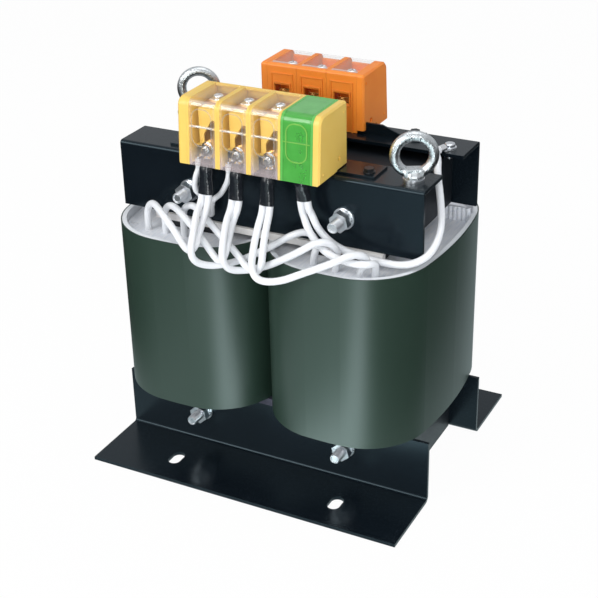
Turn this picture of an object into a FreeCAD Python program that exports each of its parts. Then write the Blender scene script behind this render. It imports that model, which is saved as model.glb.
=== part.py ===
import FreeCAD, Part
import math
import os

from FreeCAD import Vector

os.makedirs("parts", exist_ok=True)

# Step-down transformer, millimetres. The origin is on the floor at the centre of the four mounting slots.
# X runs along the two coils, the front is -Y and +Z is up.

# Folded sheet of the base angles and the top clamps.
SHEET = 3.2
BEND = 3.0
BASE_LENGTH = 320.0
BASE_WEB = 64.0
FOOT_REACH = 74.3
SLOT_PITCH = 172.0
SLOT_SETBACK = 41.1
SLOT_WIDTH = 12.0
SLOT_LENGTH = 20.0
CLAMP_LENGTH = 300.0
CLAMP_WEB = 63.0
CLAMP_FLANGE = 41.6
REAR_CLAMP_SHORTER = 6.5

# Laminated core.
STACK = 125.0
LEG_WIDTH = 60.0
LEG_PITCH = 154.0
LOWER_YOKE_LENGTH = 262.0
LOWER_YOKE_HEIGHT = 62.0
UPPER_YOKE_LENGTH = 251.0
UPPER_YOKE_HEIGHT = 51.4
CORE_LIFT = 2.0
WINDOW = 181.2

# Coils: outline of the wrap, and the layers inside it from the outside in.
COIL_GAP = 0.8
COIL_REACH = 80.3
COIL_HALF_DEPTH = 112.5
COIL_CROWN = 400.0
COIL_BULGE = 400.0
COIL_CORNER = 62.0
COIL_LOW_GAP = 7.5
COIL_TOP_GAP = 6.1
END_RECESS = 8.5
END_DISC = 5.0
WRAP = 1.0
LINER = 4.0
OUTER_BUILD = 19.0
BARRIER = 2.0
LAYER_CLEARANCE = 0.2
FORMER_WALL = 2.5
FORMER_CLEARANCE = 0.5
STRIP_DEPTH = 6.0
STRIP_LENGTH = 229.0
COMB_LENGTH = 34.4
COMB_SHEET = 1.2
COMB_SETBACK = 2.0
COMB_CLEARANCE = 1.4
COMB_RIDGES = 8
COMB_OVERLAP = 0.3
TIE_HOLE = 1.8
TIE_HOLES = 3
TIE_HOLE_PITCH = 4.2
TIE_ROW_TURN = 25.0
TIE_HOLE_OUT = 74.8
TIE_HOLE_FROM_LEG = 64.2

# Through bolts of the core.
BOLT = 10.0
BOLT_TUBE = 13.2
TUBE_WALL = 1.3
HOLE_CLEARANCE = 0.6
LOWER_BOLT_Z = 38.0
TOP_BOLT_RISE = 26.6
THREAD_END = 24.0
NUT_FLATS = 16.0
NUT_HEIGHT = 8.0
HEAD_HEIGHT = 6.4
WASHER = 20.0
WASHER_THICK = 2.0
SPRING_WASHER = 17.6
SPRING_THICK = 2.2
SPRING_SPLIT = 1.0
THREAD_FIT = 0.05

# Lifting eye bolts.
EYE_BOLT = 10.0
EYE_RING = 42.0
EYE_HOLE = 24.0
EYE_COLLAR = 17.5
EYE_COLLAR_HEIGHT = 6.5
EYE_COLLAR_RIM = 4.0
EYE_NECK = 13.0
EYE_RISE = 23.0
EYE_WASHER = 18.5
EYE_WASHER_THICK = 2.5
EYE_NUT_FLATS = 16.0
EYE_NUT_HEIGHT = 8.0
EYE_NUT_ROOM = 0.6
RIGHT_EYE_FROM_MIDDLE = 132.0
RIGHT_EYE_SETBACK = 20.7
LEFT_EYE_FROM_MIDDLE = 123.7
LEFT_EYE_SETBACK = 32.2
EYE_TURN = 27.0

# Terminal blocks. The distances "out" run from the transformer's middle plane towards the wiring side.
POLE_PITCH = 30.5
POLE_GAP = 0.2
FRONT_POLES = 4
REAR_POLES = 3
FRONT_BLOCK_SHIFT = -0.8
REAR_BLOCK_SHIFT = -4.8
REAR_BLOCK_DROP = 3.2
BLOCK_INNER_OUT = 37.0
BLOCK_DEPTH = 55.0
BLOCK_LEAN = 4.0
BLOCK_HEIGHT = 58.8
BLOCK_LIFT = 0.3
BLOCK_CORNER = 8.0
BLOCK_EDGE = 2.5
FRONT_LEFT_PLATE = 9.0
FRONT_RIGHT_PLATE = 6.5
REAR_PLATE = 7.1
PLATE_RIM = 1.6
PLATE_STEP = 1.0
PLATE_PIP = 2.6
PLATE_PIP_PROUD = 0.6
PLATE_ROD_HOLE = 4.6
PLATE_ROD_DEPTH = 2.5
SKIRT_CLEARANCE = 0.3
SIDE_WALL = 2.2
BACK_WALL = 2.2
FLOOR_THICK = 2.2
FLOOR_DEPTH = 40.3
BACK_WINDOW_WIDTH = 15.5
BACK_WINDOW_HEIGHT = 9.5
BACK_WINDOW_RISE = 30.0
COVER_THICK = 1.4
COVER_CLEARANCE = 0.15
COVER_START = 5.0
COVER_FOOT = 3.0
RELIEF_WIDTH = 20.5
RELIEF_LENGTH = 34.0
RELIEF_LINE = 1.1
RELIEF_PROUD = 0.7
RELIEF_RISE = 34.5
RELIEF_CORNER = 8.5
CREASE_RISE = 34.5
CREASE_HEIGHT = 0.8

# Metal of the poles.
BAR_THICK = 2.0
BAR_WIDTH = 17.0
BAR_TOP_DROP = 8.0
BAR_START = 6.0
BAR_CLEARANCE = 0.2
PEDESTAL_START = 12.0
PEDESTAL_NARROWER = 1.0
SCREW = 5.0
SCREW_SETBACK = 22.0
SCREW_HEAD = 9.6
SCREW_HEAD_HEIGHT = 3.2
SCREW_SLOT = 1.2
SCREW_PLATE = 12.0
SCREW_PLATE_THICK = 1.2
TERMINAL_BOLT = 6.0
TERMINAL_BOLT_RISE = 13.0
TERMINAL_NUT_FLATS = 10.0
TERMINAL_NUT_HEIGHT = 5.0
TERMINAL_BOLT_END = 2.0
LUG_THICK = 1.6
LUG_EYE = 12.5
LUG_BARREL = 7.0
LUG_BARREL_LENGTH = 9.0
LUG_NECK = 2.0
SIDE_BARREL = 5.2
SIDE_BARREL_SHIFT = 9.9
SIDE_BARREL_TOP = 5.0
SIDE_BARREL_DROP = 2.7

# Brackets below the terminal blocks.
BRACKET_SHEET = 2.0
BRACKET_END = 9.0
BRACKET_RISE = 13.2
FRONT_FOOT_START = 29.0
FRONT_WEB_OUT = 57.0
REAR_WEB_OUT = 44.0
REAR_FOOT_END = 60.0
RAIL_END = 75.3
RAIL_CLEARANCE = 0.3
FRONT_WEB_INSET = 0.5
REAR_FOOT_START = 42.0
REAR_WEB_TOP_HALF = 64.0
REAR_WEB_FOOT_HALF = 86.0
BRACKET_SCREW_PITCH = 184.0
FRONT_SCREW_OUT = 47.5
REAR_SCREW_OUT = 53.0
BRACKET_SCREW = 5.0
BRACKET_SCREW_FLATS = 8.0
BRACKET_SCREW_HEAD = 3.8
BRACKET_SCREW_FLANGE = 11.0

# Earth screw on the rear clamp.
EARTH_X = 133.0
EARTH_SETBACK = 30.7
EARTH_SCREW = 5.0
EARTH_HEAD = 9.5
EARTH_HEAD_HEIGHT = 3.4
EARTH_WASHER = 12.0
EARTH_WASHER_THICK = 1.0
EARTH_LUG_REACH = 15.0
EARTH_LUG_TURN = 72.0

# Leads and their shrink sleeves.
LEAD = 6.4
JUMPER = 3.8
JUMPER_STRAIGHT = 4.0
CAP = 7.8
CAP_LENGTH = 11.0
CAP_SPREAD = 4.4
CAP_DROP = 44.3
CAP_OUT = 74.0
CAP_FROM_MIDDLE = 52.1
SLEEVE_TOP = 14.0
SLEEVE_BOTTOM = 13.6
SLEEVE_WAIST = 11.6
SLEEVE_NECK = 10.8
SLEEVE_DROP = 29.7
EARTH_SLEEVE_DROP = 18.7
LEAD_SPREAD = 6.6
LEAD_STRAIGHT = 7.0

# Courses of the leads between their straight ends, (x, out, height), in the order from the terminal block.
COURSES = {
    "right_lead_1": [
        (-51.3, 95.1, 265.7), (-43.5, 119.3, 256.6), (-41.7, 128.1, 243.2), (-39.6, 123.9, 231.2),
        (-27.8, 113.9, 225.8), (-6.2, 103.2, 230.8), (18.7, 95, 245.2), (38.4, 85.7, 258.4),
        (50.4, 78.9, 260.1), (57.5, 78.1, 249.3),
    ],
    "right_lead_2": [
        (-20.7, 94, 263.3), (-16.3, 116.6, 252.8), (-11.2, 126.2, 241.3), (-8.7, 119.4, 228.6),
        (1.1, 106.1, 224.2), (22.6, 106.1, 233.1), (42.1, 111.6, 246.1), (57.1, 111, 255.8),
        (68.4, 104.1, 263.5), (77.7, 95.6, 262.1), (82.4, 89, 250.5),
    ],
    "right_lead_3": [
        (11, 91.4, 261.2), (10.8, 109.7, 247.5), (15.5, 123, 235.1), (23.5, 124.1, 226.4), (41.9, 120.6, 228.4),
        (63.1, 117.6, 239.4), (79.7, 118.6, 248.6), (92.9, 117.1, 255.7), (103.1, 109.2, 260.9),
        (111, 98.6, 257.8), (111.4, 92.1, 248.4),
    ],
    "left_lead_1": [
        (-44.4, 90.3, 263.3), (-42.8, 108.1, 253.6), (-41.2, 118.4, 245.6), (-46.6, 119.3, 238.7),
        (-55, 116.3, 239.8), (-67.5, 110.2, 250.9), (-88.4, 98.1, 260.2), (-106, 84.2, 262),
        (-117.6, 77.2, 252.1),
    ],
    "left_lead_2": [
        (-12.2, 93.1, 262.8), (-12.7, 108.8, 249.1), (-12.7, 117.7, 240.3), (-18.4, 116.9, 233.4),
        (-26.5, 113, 235.2), (-40, 107.5, 245.7), (-66.1, 90.8, 253.4), (-89.7, 78, 260.8), (-101, 75, 252.8),
    ],
    "left_lead_3": [
        (18.9, 91.1, 262.2), (18.6, 106, 247.9), (21.7, 114.7, 236.4), (16.6, 115.4, 229.4), (6.6, 113, 230.3),
        (-9.4, 106.4, 241.4), (-38.4, 92.9, 253), (-66.1, 78.7, 263.3), (-81.9, 74, 255.2),
    ],
    "earth_lead": [
        (50.8, 78.4, 276.6), (59.2, 80.3, 263.7), (75, 81.7, 252.3), (95.7, 81.1, 246.5), (118.8, 79.1, 243.8),
        (138.4, 76.5, 243.6), (153.6, 69.4, 249.5), (159.4, 58.6, 259.4), (158.8, 45.7, 272.7),
        (151.4, 31.6, 289.5), (142, 17.2, 307), (137.5, 4.3, 315.7), (129.6, -4.7, 315.7),
    ],
    "earth_lead_2": [
        (42.5, 78.9, 274.5), (52.9, 85.5, 262.6), (73.1, 98.6, 253.3), (98.4, 106.6, 251.8),
        (116.1, 104.2, 251.7), (120, 92.3, 249.6),
    ],
    "jumper_left": [
        (-59.4, 84.6, 293.8), (-61.4, 83.5, 279.3), (-53.6, 75.9, 273.4),
    ],
    "jumper_right": [
        (-28.2, 81.4, 293.3), (-38.7, 75.9, 278.3), (-45.2, 74.5, 273.1),
    ],
}
# Where each lead goes into its coil, (x, out).
COIL_ENTRIES = {
    "right_lead_1": (55, 82), "right_lead_2": (78, 86), "right_lead_3": (103, 92), "left_lead_1": (-117, 79),
    "left_lead_2": (-98, 79), "left_lead_3": (-78, 79), "earth_lead_2": (116, 87),
}

CORE_FACE = STACK / 2
WEB_FACE = CORE_FACE + SHEET
LEG_BOTTOM = CORE_LIFT + LOWER_YOKE_HEIGHT
LEG_TOP = LEG_BOTTOM + WINDOW
CORE_TOP = LEG_TOP + UPPER_YOKE_HEIGHT
CLAMP_TOP = CORE_TOP + EYE_NUT_ROOM + EYE_NUT_HEIGHT + SHEET
CLAMP_BOTTOM = CLAMP_TOP - CLAMP_WEB
LEG_X = LEG_PITCH / 2
COIL_HALF_WIDTH = (LEG_PITCH - COIL_GAP) / 2
COIL_BOTTOM = LEG_BOTTOM + COIL_LOW_GAP
COIL_TOP = LEG_TOP - COIL_TOP_GAP
UPPER_BOLT_Z = CLAMP_BOTTOM + TOP_BOLT_RISE
BLOCK_BOTTOM = CLAMP_TOP + BLOCK_LIFT
BLOCK_TOP = BLOCK_BOTTOM + BLOCK_HEIGHT
BLOCK_OUTER_OUT = BLOCK_INNER_OUT + BLOCK_DEPTH
FLOOR_Z = CLAMP_TOP + BRACKET_RISE
SKIRT_Z = CLAMP_TOP + REAR_BLOCK_DROP + SKIRT_CLEARANCE
THROAT = BLOCK_INNER_OUT + FLOOR_DEPTH
BAR_FACE = THROAT + BAR_CLEARANCE + BAR_THICK
BAR_TOP = BLOCK_TOP - BAR_TOP_DROP
TERMINAL_Z = BLOCK_BOTTOM + TERMINAL_BOLT_RISE
LUG_OUT = BAR_FACE + LUG_BARREL / 2
RIGHT_EYE = (RIGHT_EYE_FROM_MIDDLE, WEB_FACE - RIGHT_EYE_SETBACK)
LEFT_EYE = (LEFT_EYE_FROM_MIDDLE, WEB_FACE - LEFT_EYE_SETBACK)


def export(node, solids):
    """Write one node, a single solid or a group of separate ones."""
    shape = solids[0] if len(solids) == 1 else Part.makeCompound(solids)
    shape.exportStep("parts/" + node + ".step")
    for solid in solids:
        if not solid.isValid() or solid.Volume <= 0:
            print("check", node)


def block(x0, x1, y0, y1, z0, z1):
    return Part.makeBox(x1 - x0, y1 - y0, z1 - z0, Vector(x0, y0, z0))


def rod(diameter, length, start, direction):
    return Part.makeCylinder(diameter / 2, length, Vector(*start), Vector(*direction))


def ring(outer, inner, length, start, direction):
    return rod(outer, length, start, direction).cut(rod(inner, length, start, direction))


def hexagon(flats, length, start, direction, turn=0.0):
    """Hexagonal prism from start along direction, with a flat towards +X at no turn."""
    corner = flats / math.sqrt(3)
    angles = [math.radians(30 + turn + 60 * step) for step in range(7)]
    outline = Part.makePolygon([Vector(corner * math.cos(a), corner * math.sin(a), 0) for a in angles])
    prism = Part.Face(outline).extrude(Vector(0, 0, length))
    prism.Placement = FreeCAD.Placement(
        Vector(*start), FreeCAD.Rotation(Vector(0, 0, 1), Vector(*direction))
    )
    return prism


def side_profile(points, x0, x1, out):
    """Solid from an outline of (distance out, height) points, extruded along X; out is -1 or 1."""
    corners = [Vector(x0, out * u, z) for u, z in points]
    face = Part.Face(Part.makePolygon(corners + corners[:1]))
    return face.extrude(Vector(x1 - x0, 0, 0))


def round_edges(solid, radius, chosen):
    """Fillet the edges that the test picks by their middle point and direction."""
    edges = []
    for edge in solid.Edges:
        if len(edge.Vertexes) == 2:
            start, end = edge.Vertexes[0].Point, edge.Vertexes[1].Point
            if chosen((start + end) * 0.5, end - start):
                edges.append(edge)
    return solid.makeFillet(radius, edges)


def along_x(direction):
    return abs(direction.y) < 1e-6 and abs(direction.z) < 1e-6


def near(value, target):
    return abs(value - target) < 1e-4


def turned(solid):
    """The same solid on the other side of the transformer, by half a turn about Z."""
    copy = solid.copy()
    copy.rotate(Vector(0, 0, 0), Vector(0, 0, 1), 180)
    return copy


def rear(solid):
    """A piece of the rear terminal block: on the other side of the transformer and set down onto its lower rail."""
    piece = turned(solid)
    piece.translate(Vector(0, 0, -REAR_BLOCK_DROP))
    return piece


def bolt_places():
    return [(x, z) for z in (LOWER_BOLT_Z, UPPER_BOLT_Z) for x in (-LEG_X, LEG_X)]


def base_angle():
    """Front base angle: upright web against the core, foot outwards along the floor."""
    foot = CORE_FACE + SHEET + FOOT_REACH
    outline = [
        (CORE_FACE, 0), (foot, 0), (foot, SHEET), (WEB_FACE, SHEET), (WEB_FACE, BASE_WEB), (CORE_FACE, BASE_WEB),
    ]
    angle = side_profile(outline, -BASE_LENGTH / 2, BASE_LENGTH / 2, -1)
    angle = round_edges(angle, BEND, lambda p, d: along_x(d) and near(p.y, -WEB_FACE) and near(p.z, SHEET))
    angle = round_edges(angle, BEND + SHEET, lambda p, d: along_x(d) and near(p.y, -CORE_FACE) and near(p.z, 0))
    slot_out = WEB_FACE + SLOT_SETBACK
    half = (SLOT_LENGTH - SLOT_WIDTH) / 2
    for x in (-SLOT_PITCH / 2, SLOT_PITCH / 2):
        slot = block(x - SLOT_WIDTH / 2, x + SLOT_WIDTH / 2, -slot_out - half, -slot_out + half, 0, SHEET)
        for y in (-slot_out - half, -slot_out + half):
            slot = slot.fuse(rod(SLOT_WIDTH, SHEET, (x, y, 0), (0, 0, 1)))
        angle = angle.cut(slot)
        hole = rod(BOLT + HOLE_CLEARANCE, SHEET, (math.copysign(LEG_X, x), -WEB_FACE, LOWER_BOLT_Z), (0, 1, 0))
        angle = angle.cut(hole)
    return angle


def top_clamp(eye, shorter=0.0):
    """Top clamp at the front: web against the core, flange inwards over the yoke, right end cut back if shorter."""
    inner = WEB_FACE - CLAMP_FLANGE
    flange = CLAMP_TOP - SHEET
    outline = [
        (CORE_FACE, CLAMP_BOTTOM), (WEB_FACE, CLAMP_BOTTOM), (WEB_FACE, CLAMP_TOP), (inner, CLAMP_TOP),
        (inner, flange), (CORE_FACE, flange),
    ]
    clamp = side_profile(outline, -CLAMP_LENGTH / 2, CLAMP_LENGTH / 2 - shorter, -1)
    clamp = round_edges(clamp, SHEET, lambda p, d: along_x(d) and near(p.y, -WEB_FACE) and near(p.z, CLAMP_TOP))
    for x in (-LEG_X, LEG_X):
        clamp = clamp.cut(rod(BOLT + HOLE_CLEARANCE, SHEET, (x, -WEB_FACE, UPPER_BOLT_Z), (0, 1, 0)))
    return clamp.cut(rod(EYE_BOLT + HOLE_CLEARANCE, SHEET, (eye[0], -eye[1], flange), (0, 0, 1)))


def tapped(sheet, size, places):
    """Sheet with upright tapped holes at the given (x, out) places on the front."""
    for x, out in places:
        sheet = sheet.cut(rod(size + 2 * THREAD_FIT, SHEET, (x, -out, CLAMP_TOP - SHEET), (0, 0, 1)))
    return sheet


def bracket_screw_places(out):
    return [(x, out) for x in (-BRACKET_SCREW_PITCH / 2, BRACKET_SCREW_PITCH / 2)]


def core():
    lower_half, upper_half = LOWER_YOKE_LENGTH / 2, UPPER_YOKE_LENGTH / 2
    lower = block(-lower_half, lower_half, -CORE_FACE, CORE_FACE, CORE_LIFT, LEG_BOTTOM)
    upper = block(-upper_half, upper_half, -CORE_FACE, CORE_FACE, LEG_TOP, CORE_TOP)
    for x, z in bolt_places():
        hole = rod(BOLT_TUBE + HOLE_CLEARANCE, STACK, (x, -CORE_FACE, z), (0, 1, 0))
        if z < LEG_BOTTOM:
            lower = lower.cut(hole)
        else:
            upper = upper.cut(hole)
    legs = [
        block(x - LEG_WIDTH / 2, x + LEG_WIDTH / 2, -CORE_FACE, CORE_FACE, LEG_BOTTOM, LEG_TOP)
        for x in (-LEG_X, LEG_X)
    ]
    return lower, upper, legs


def crossing(first, reach, second, second_reach):
    """Point at both distances from the two points, on the right of the way from the first to the second."""
    way = second - first
    along = (reach ** 2 - second_reach ** 2 + way.Length ** 2) / (2 * way.Length)
    way.normalize()
    return first + way * along + Vector(way.y, -way.x, 0) * math.sqrt(reach ** 2 - along ** 2)


def coil_outline(x, z, inset):
    """Closed wire round a coil: flat towards the other coil, bulged on the outer side, crowned front and back."""
    side = math.copysign(1, x)
    flat = COIL_CORNER - COIL_HALF_WIDTH
    crown_at = Vector(0, COIL_HALF_DEPTH - COIL_CROWN, 0)
    bulge_at = Vector(COIL_REACH - COIL_BULGE, 0, 0)
    inner_at = Vector(flat, crown_at.y + math.sqrt((COIL_CROWN - COIL_CORNER) ** 2 - flat ** 2), 0)
    outer_at = crossing(crown_at, COIL_CROWN - COIL_CORNER, bulge_at, COIL_BULGE - COIL_CORNER)
    arcs = [
        (inner_at, COIL_CORNER, Vector(-1, 0, 0), inner_at - crown_at),
        (crown_at, COIL_CROWN, inner_at - crown_at, outer_at - crown_at),
        (outer_at, COIL_CORNER, outer_at - crown_at, outer_at - bulge_at),
        (bulge_at, COIL_BULGE, outer_at - bulge_at, Vector(1, 0, 0)),
    ]

    def at(centre, radius, direction, mirror):
        spot = centre + Vector(direction).normalize() * (radius - inset)
        return Vector(x + side * spot.x, mirror * spot.y, z)

    edges = [Part.makeLine(*(at(inner_at, COIL_CORNER, Vector(-1, 0, 0), mirror) for mirror in (-1, 1)))]
    for mirror in (-1, 1):
        for centre, radius, start, end in arcs:
            middle = Vector(start).normalize() + Vector(end).normalize()
            edges.append(Part.Arc(*(at(centre, radius, turn, mirror) for turn in (start, middle, end))).toShape())
    return Part.Wire(Part.__sortEdges__(edges))


def coil_solid(x, inset, z0, z1):
    return Part.Face(coil_outline(x, z0, inset)).extrude(Vector(0, 0, z1 - z0))


def leg_tube(x, growth, corner, z0, z1):
    """Upright solid round a leg: its section grown on all sides, with rounded corners."""
    half_x = LEG_WIDTH / 2 + growth
    half_y = CORE_FACE + growth
    solid = block(x - half_x, x + half_x, -half_y, half_y, z0, z1)
    return solid.makeFillet(corner, [e for e in solid.Edges if abs(e.tangentAt(e.FirstParameter).z) > 0.9])


def coil(x):
    """Layers of one coil as a dictionary of node endings and solids."""
    end_low = COIL_BOTTOM + END_RECESS
    end_high = COIL_TOP - END_RECESS
    wound_low = end_low + END_DISC + LAYER_CLEARANCE
    wound_high = end_high - END_DISC - LAYER_CLEARANCE
    liner_in = WRAP + LAYER_CLEARANCE
    outer_in = liner_in + LINER + LAYER_CLEARANCE
    barrier_in = outer_in + OUTER_BUILD + LAYER_CLEARANCE
    inner_in = barrier_in + BARRIER + LAYER_CLEARANCE
    former_out = FORMER_CLEARANCE + FORMER_WALL
    corner = FORMER_WALL + FORMER_CLEARANCE

    wrap = coil_solid(x, 0, COIL_BOTTOM, COIL_TOP).cut(coil_solid(x, WRAP, COIL_BOTTOM, COIL_TOP))
    liner = coil_solid(x, liner_in, COIL_BOTTOM, COIL_TOP).cut(
        coil_solid(x, liner_in + LINER, COIL_BOTTOM, COIL_TOP)
    )
    outer = coil_solid(x, outer_in, wound_low, wound_high).cut(
        coil_solid(x, outer_in + OUTER_BUILD, wound_low, wound_high)
    )
    barrier = coil_solid(x, barrier_in, wound_low, wound_high).cut(
        coil_solid(x, barrier_in + BARRIER, wound_low, wound_high)
    )
    around_former = leg_tube(x, former_out + LAYER_CLEARANCE, corner, end_low, end_high)
    inner = coil_solid(x, inner_in, wound_low, wound_high).cut(around_former)
    former = leg_tube(x, former_out, corner, end_low, end_high).cut(
        leg_tube(x, FORMER_CLEARANCE, FORMER_CLEARANCE, end_low, end_high)
    )
    discs = []
    for z in (end_low, end_high - END_DISC):
        discs.append(coil_solid(x, outer_in, z, z + END_DISC).cut(around_former))
    discs[1] = end_comb(tie_holes(discs[1], x, end_high), x, end_high)
    return {
        "coil_wrap": [wrap], "duct_liner": [liner], "outer_winding": [outer], "winding_barrier": [barrier],
        "inner_winding": [inner], "coil_former": [former], "end_insulation": discs,
    }


def end_comb(disc, x, top):
    """Corrugated strip that stands on the upper end insulation, along the rear of the core's end."""
    side = math.copysign(1, x)
    start = x + side * (LEG_WIDTH / 2 + FORMER_WALL + FORMER_CLEARANCE + COMB_SHEET)
    end = start + side * COMB_LENGTH
    back = CORE_FACE - COMB_SETBACK
    foot = top - END_DISC / 2
    head = CLAMP_BOTTOM - COMB_CLEARANCE
    comb = block(min(start, end), max(start, end), back - COMB_SHEET, back, foot, head)
    pitch = COMB_LENGTH / COMB_RIDGES
    ridges = []
    for step in range(COMB_RIDGES):
        place = (start + side * pitch * (step + 0.5), back - COMB_SHEET, foot)
        ridges.append(rod(pitch + COMB_OVERLAP, head - foot, place, (0, 0, 1)))
    beyond = block(min(start, end) - pitch, max(start, end) + pitch, back, back + pitch, foot, head)
    return disc.fuse(comb.fuse(ridges).cut(beyond)).removeSplitter()


def tie_holes(disc, x, top):
    """Row of small holes through the upper end insulation, beside the liner at the outer front corner."""
    side = math.copysign(1, x)
    turn = math.radians(TIE_ROW_TURN)
    for step in range(TIE_HOLES):
        hole_x = x + side * (TIE_HOLE_FROM_LEG - step * TIE_HOLE_PITCH * math.cos(turn))
        hole_y = step * TIE_HOLE_PITCH * math.sin(turn) - TIE_HOLE_OUT
        disc = disc.cut(rod(TIE_HOLE, END_DISC, (hole_x, hole_y, top - END_DISC), (0, 0, 1)))
    return disc


def insulation_strips():
    """Strips that hold the coils between the base angles' webs and the top clamps' webs."""
    half = STRIP_LENGTH / 2
    near_edge = CORE_FACE + LAYER_CLEARANCE
    strips = []
    for z0, z1 in ((BASE_WEB, COIL_BOTTOM), (COIL_TOP, CLAMP_BOTTOM)):
        front = block(-half, half, -near_edge - STRIP_DEPTH, -near_edge, z0, z1)
        strips += [front, turned(front)]
    return strips


def core_bolts():
    """Through bolts with heads at the rear and threaded ends and nuts at the front."""
    bolts, tubes, washers, springs, nuts = [], [], [], [], []
    head = WEB_FACE + WASHER_THICK
    spring = WEB_FACE + WASHER_THICK
    nut = spring + SPRING_THICK
    for x, z in bolt_places():
        shank = rod(BOLT, head + WEB_FACE + THREAD_END, (x, -WEB_FACE - THREAD_END, z), (0, 1, 0))
        rim = [e for e in shank.Edges if near(e.CenterOfMass.y, -WEB_FACE - THREAD_END)]
        shank = shank.makeChamfer(BOLT / 10, rim)
        bolts.append(shank.fuse(hexagon(NUT_FLATS, HEAD_HEIGHT, (x, head, z), (0, 1, 0))))
        tubes.append(ring(BOLT_TUBE, BOLT_TUBE - 2 * TUBE_WALL, STACK, (x, -CORE_FACE, z), (0, 1, 0)))
        for y in (-WEB_FACE, WEB_FACE + WASHER_THICK):
            washers.append(ring(WASHER, BOLT + HOLE_CLEARANCE, WASHER_THICK, (x, y, z), (0, -1, 0)))
        spring_ring = ring(SPRING_WASHER, BOLT + HOLE_CLEARANCE, SPRING_THICK, (x, -spring, z), (0, -1, 0))
        split = block(x, x + SPRING_WASHER, -nut, -spring, z - SPRING_SPLIT / 2, z + SPRING_SPLIT / 2)
        springs.append(spring_ring.cut(split))
        hexagon_nut = hexagon(NUT_FLATS, NUT_HEIGHT, (x, -nut, z), (0, -1, 0), 12)
        nuts.append(hexagon_nut.cut(rod(BOLT + 2 * THREAD_FIT, NUT_HEIGHT, (x, -nut, z), (0, -1, 0))))
    return bolts, tubes, washers, springs, nuts


def eye_bolt(eye):
    """Front eye bolt at (x, out): ring forged on a collar above a threaded shank."""
    x, y = eye[0], -eye[1]
    seat = CLAMP_TOP + EYE_WASHER_THICK
    section = (EYE_RING - EYE_HOLE) / 2
    middle = (EYE_RING + EYE_HOLE) / 4
    turn = math.radians(EYE_TURN)
    normal = Vector(math.sin(turn), -math.cos(turn), 0)
    ring_solid = Part.makeTorus(middle, section / 2, Vector(x, y, CLAMP_TOP + EYE_RISE), normal)
    neck = EYE_COLLAR_HEIGHT - EYE_COLLAR_RIM
    shoulder = Part.makeCone(EYE_COLLAR / 2, EYE_NECK / 2, neck, Vector(x, y, seat + EYE_COLLAR_RIM))
    collar = rod(EYE_COLLAR, EYE_COLLAR_RIM, (x, y, seat), (0, 0, 1)).fuse(shoulder)
    shank_length = EYE_WASHER_THICK + SHEET + EYE_NUT_HEIGHT
    shank = rod(EYE_BOLT, shank_length, (x, y, seat - shank_length), (0, 0, 1))
    return ring_solid.fuse([collar, shank]).removeSplitter()


def eye_washer(eye):
    return ring(EYE_WASHER, EYE_BOLT + HOLE_CLEARANCE, EYE_WASHER_THICK, (eye[0], -eye[1], CLAMP_TOP), (0, 0, 1))


def eye_nut(eye):
    start = (eye[0], -eye[1], CLAMP_TOP - SHEET)
    nut = hexagon(EYE_NUT_FLATS, EYE_NUT_HEIGHT, start, (0, 0, -1))
    return nut.cut(rod(EYE_BOLT + 2 * THREAD_FIT, EYE_NUT_HEIGHT, start, (0, 0, -1)))


def outer_line(z):
    """Distance out of the leaning wiring face at a height."""
    return BLOCK_OUTER_OUT - BLOCK_LEAN * (z - BLOCK_BOTTOM) / BLOCK_HEIGHT


def body_outline(inset):
    """Upper outline of a pole or end plate, from the inner bottom round to the outer bottom."""
    top = BLOCK_TOP - inset
    inner = BLOCK_INNER_OUT + inset
    return inner, top, [
        (outer_line(top) - inset, top), (outer_line(BLOCK_BOTTOM) - inset, BLOCK_BOTTOM),
    ]


def crown_edges(solid, out, inset):
    """Round the upper outer corner and the upper inner corner along X."""
    inner, top, outer = body_outline(inset)
    solid = round_edges(solid, BLOCK_CORNER - inset,
                        lambda p, d: along_x(d) and near(p.z, top) and near(p.y, out * outer[0][0]))
    return round_edges(solid, BLOCK_EDGE,
                       lambda p, d: along_x(d) and near(p.z, top) and near(p.y, out * inner))


def end_plate(x0, side, thick, step_out, drop=0.0, slot_out=None):
    """Front end plate with its outer face on the given side of x0, stepped up over what lies below its inner part."""
    inner, top, outer = body_outline(0)
    step_z = CLAMP_TOP + BRACKET_SHEET + drop + PLATE_STEP
    step_out += 2 * RAIL_CLEARANCE
    outline = [(inner, step_z), (inner, top)] + outer + [(step_out, BLOCK_BOTTOM), (step_out, step_z)]
    face_x = x0 + side * thick
    low, high = min(x0, face_x), max(x0, face_x)
    plate = crown_edges(side_profile(outline, low, high, -1), -1, 0)
    rim = [e for e in plate.Edges if all(near(v.X, face_x) for v in e.Vertexes)]
    rim = [e for e in rim if e.CenterOfMass.z > step_z + 1 or e.CenterOfMass.y < -step_out - 1]
    plate = plate.makeChamfer(PLATE_RIM, rim)
    for u, z in ((inner + 6, top - 9), (BLOCK_OUTER_OUT - 8, BLOCK_BOTTOM + 8)):
        plate = plate.fuse(rod(PLATE_PIP, PLATE_PIP_PROUD, (face_x, -u, z), (side, 0, 0)))
    rod_place = (face_x, -(inner + 16), BLOCK_BOTTOM + 12)
    plate = plate.cut(rod(PLATE_ROD_HOLE, PLATE_ROD_DEPTH, rod_place, (-side, 0, 0)))
    if slot_out:
        slot = block(low, high, -slot_out - RAIL_CLEARANCE, -slot_out + BRACKET_SHEET + RAIL_CLEARANCE,
                     BLOCK_BOTTOM, FLOOR_Z + RAIL_CLEARANCE)
        plate = plate.cut(slot)
    return plate.removeSplitter()


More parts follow.
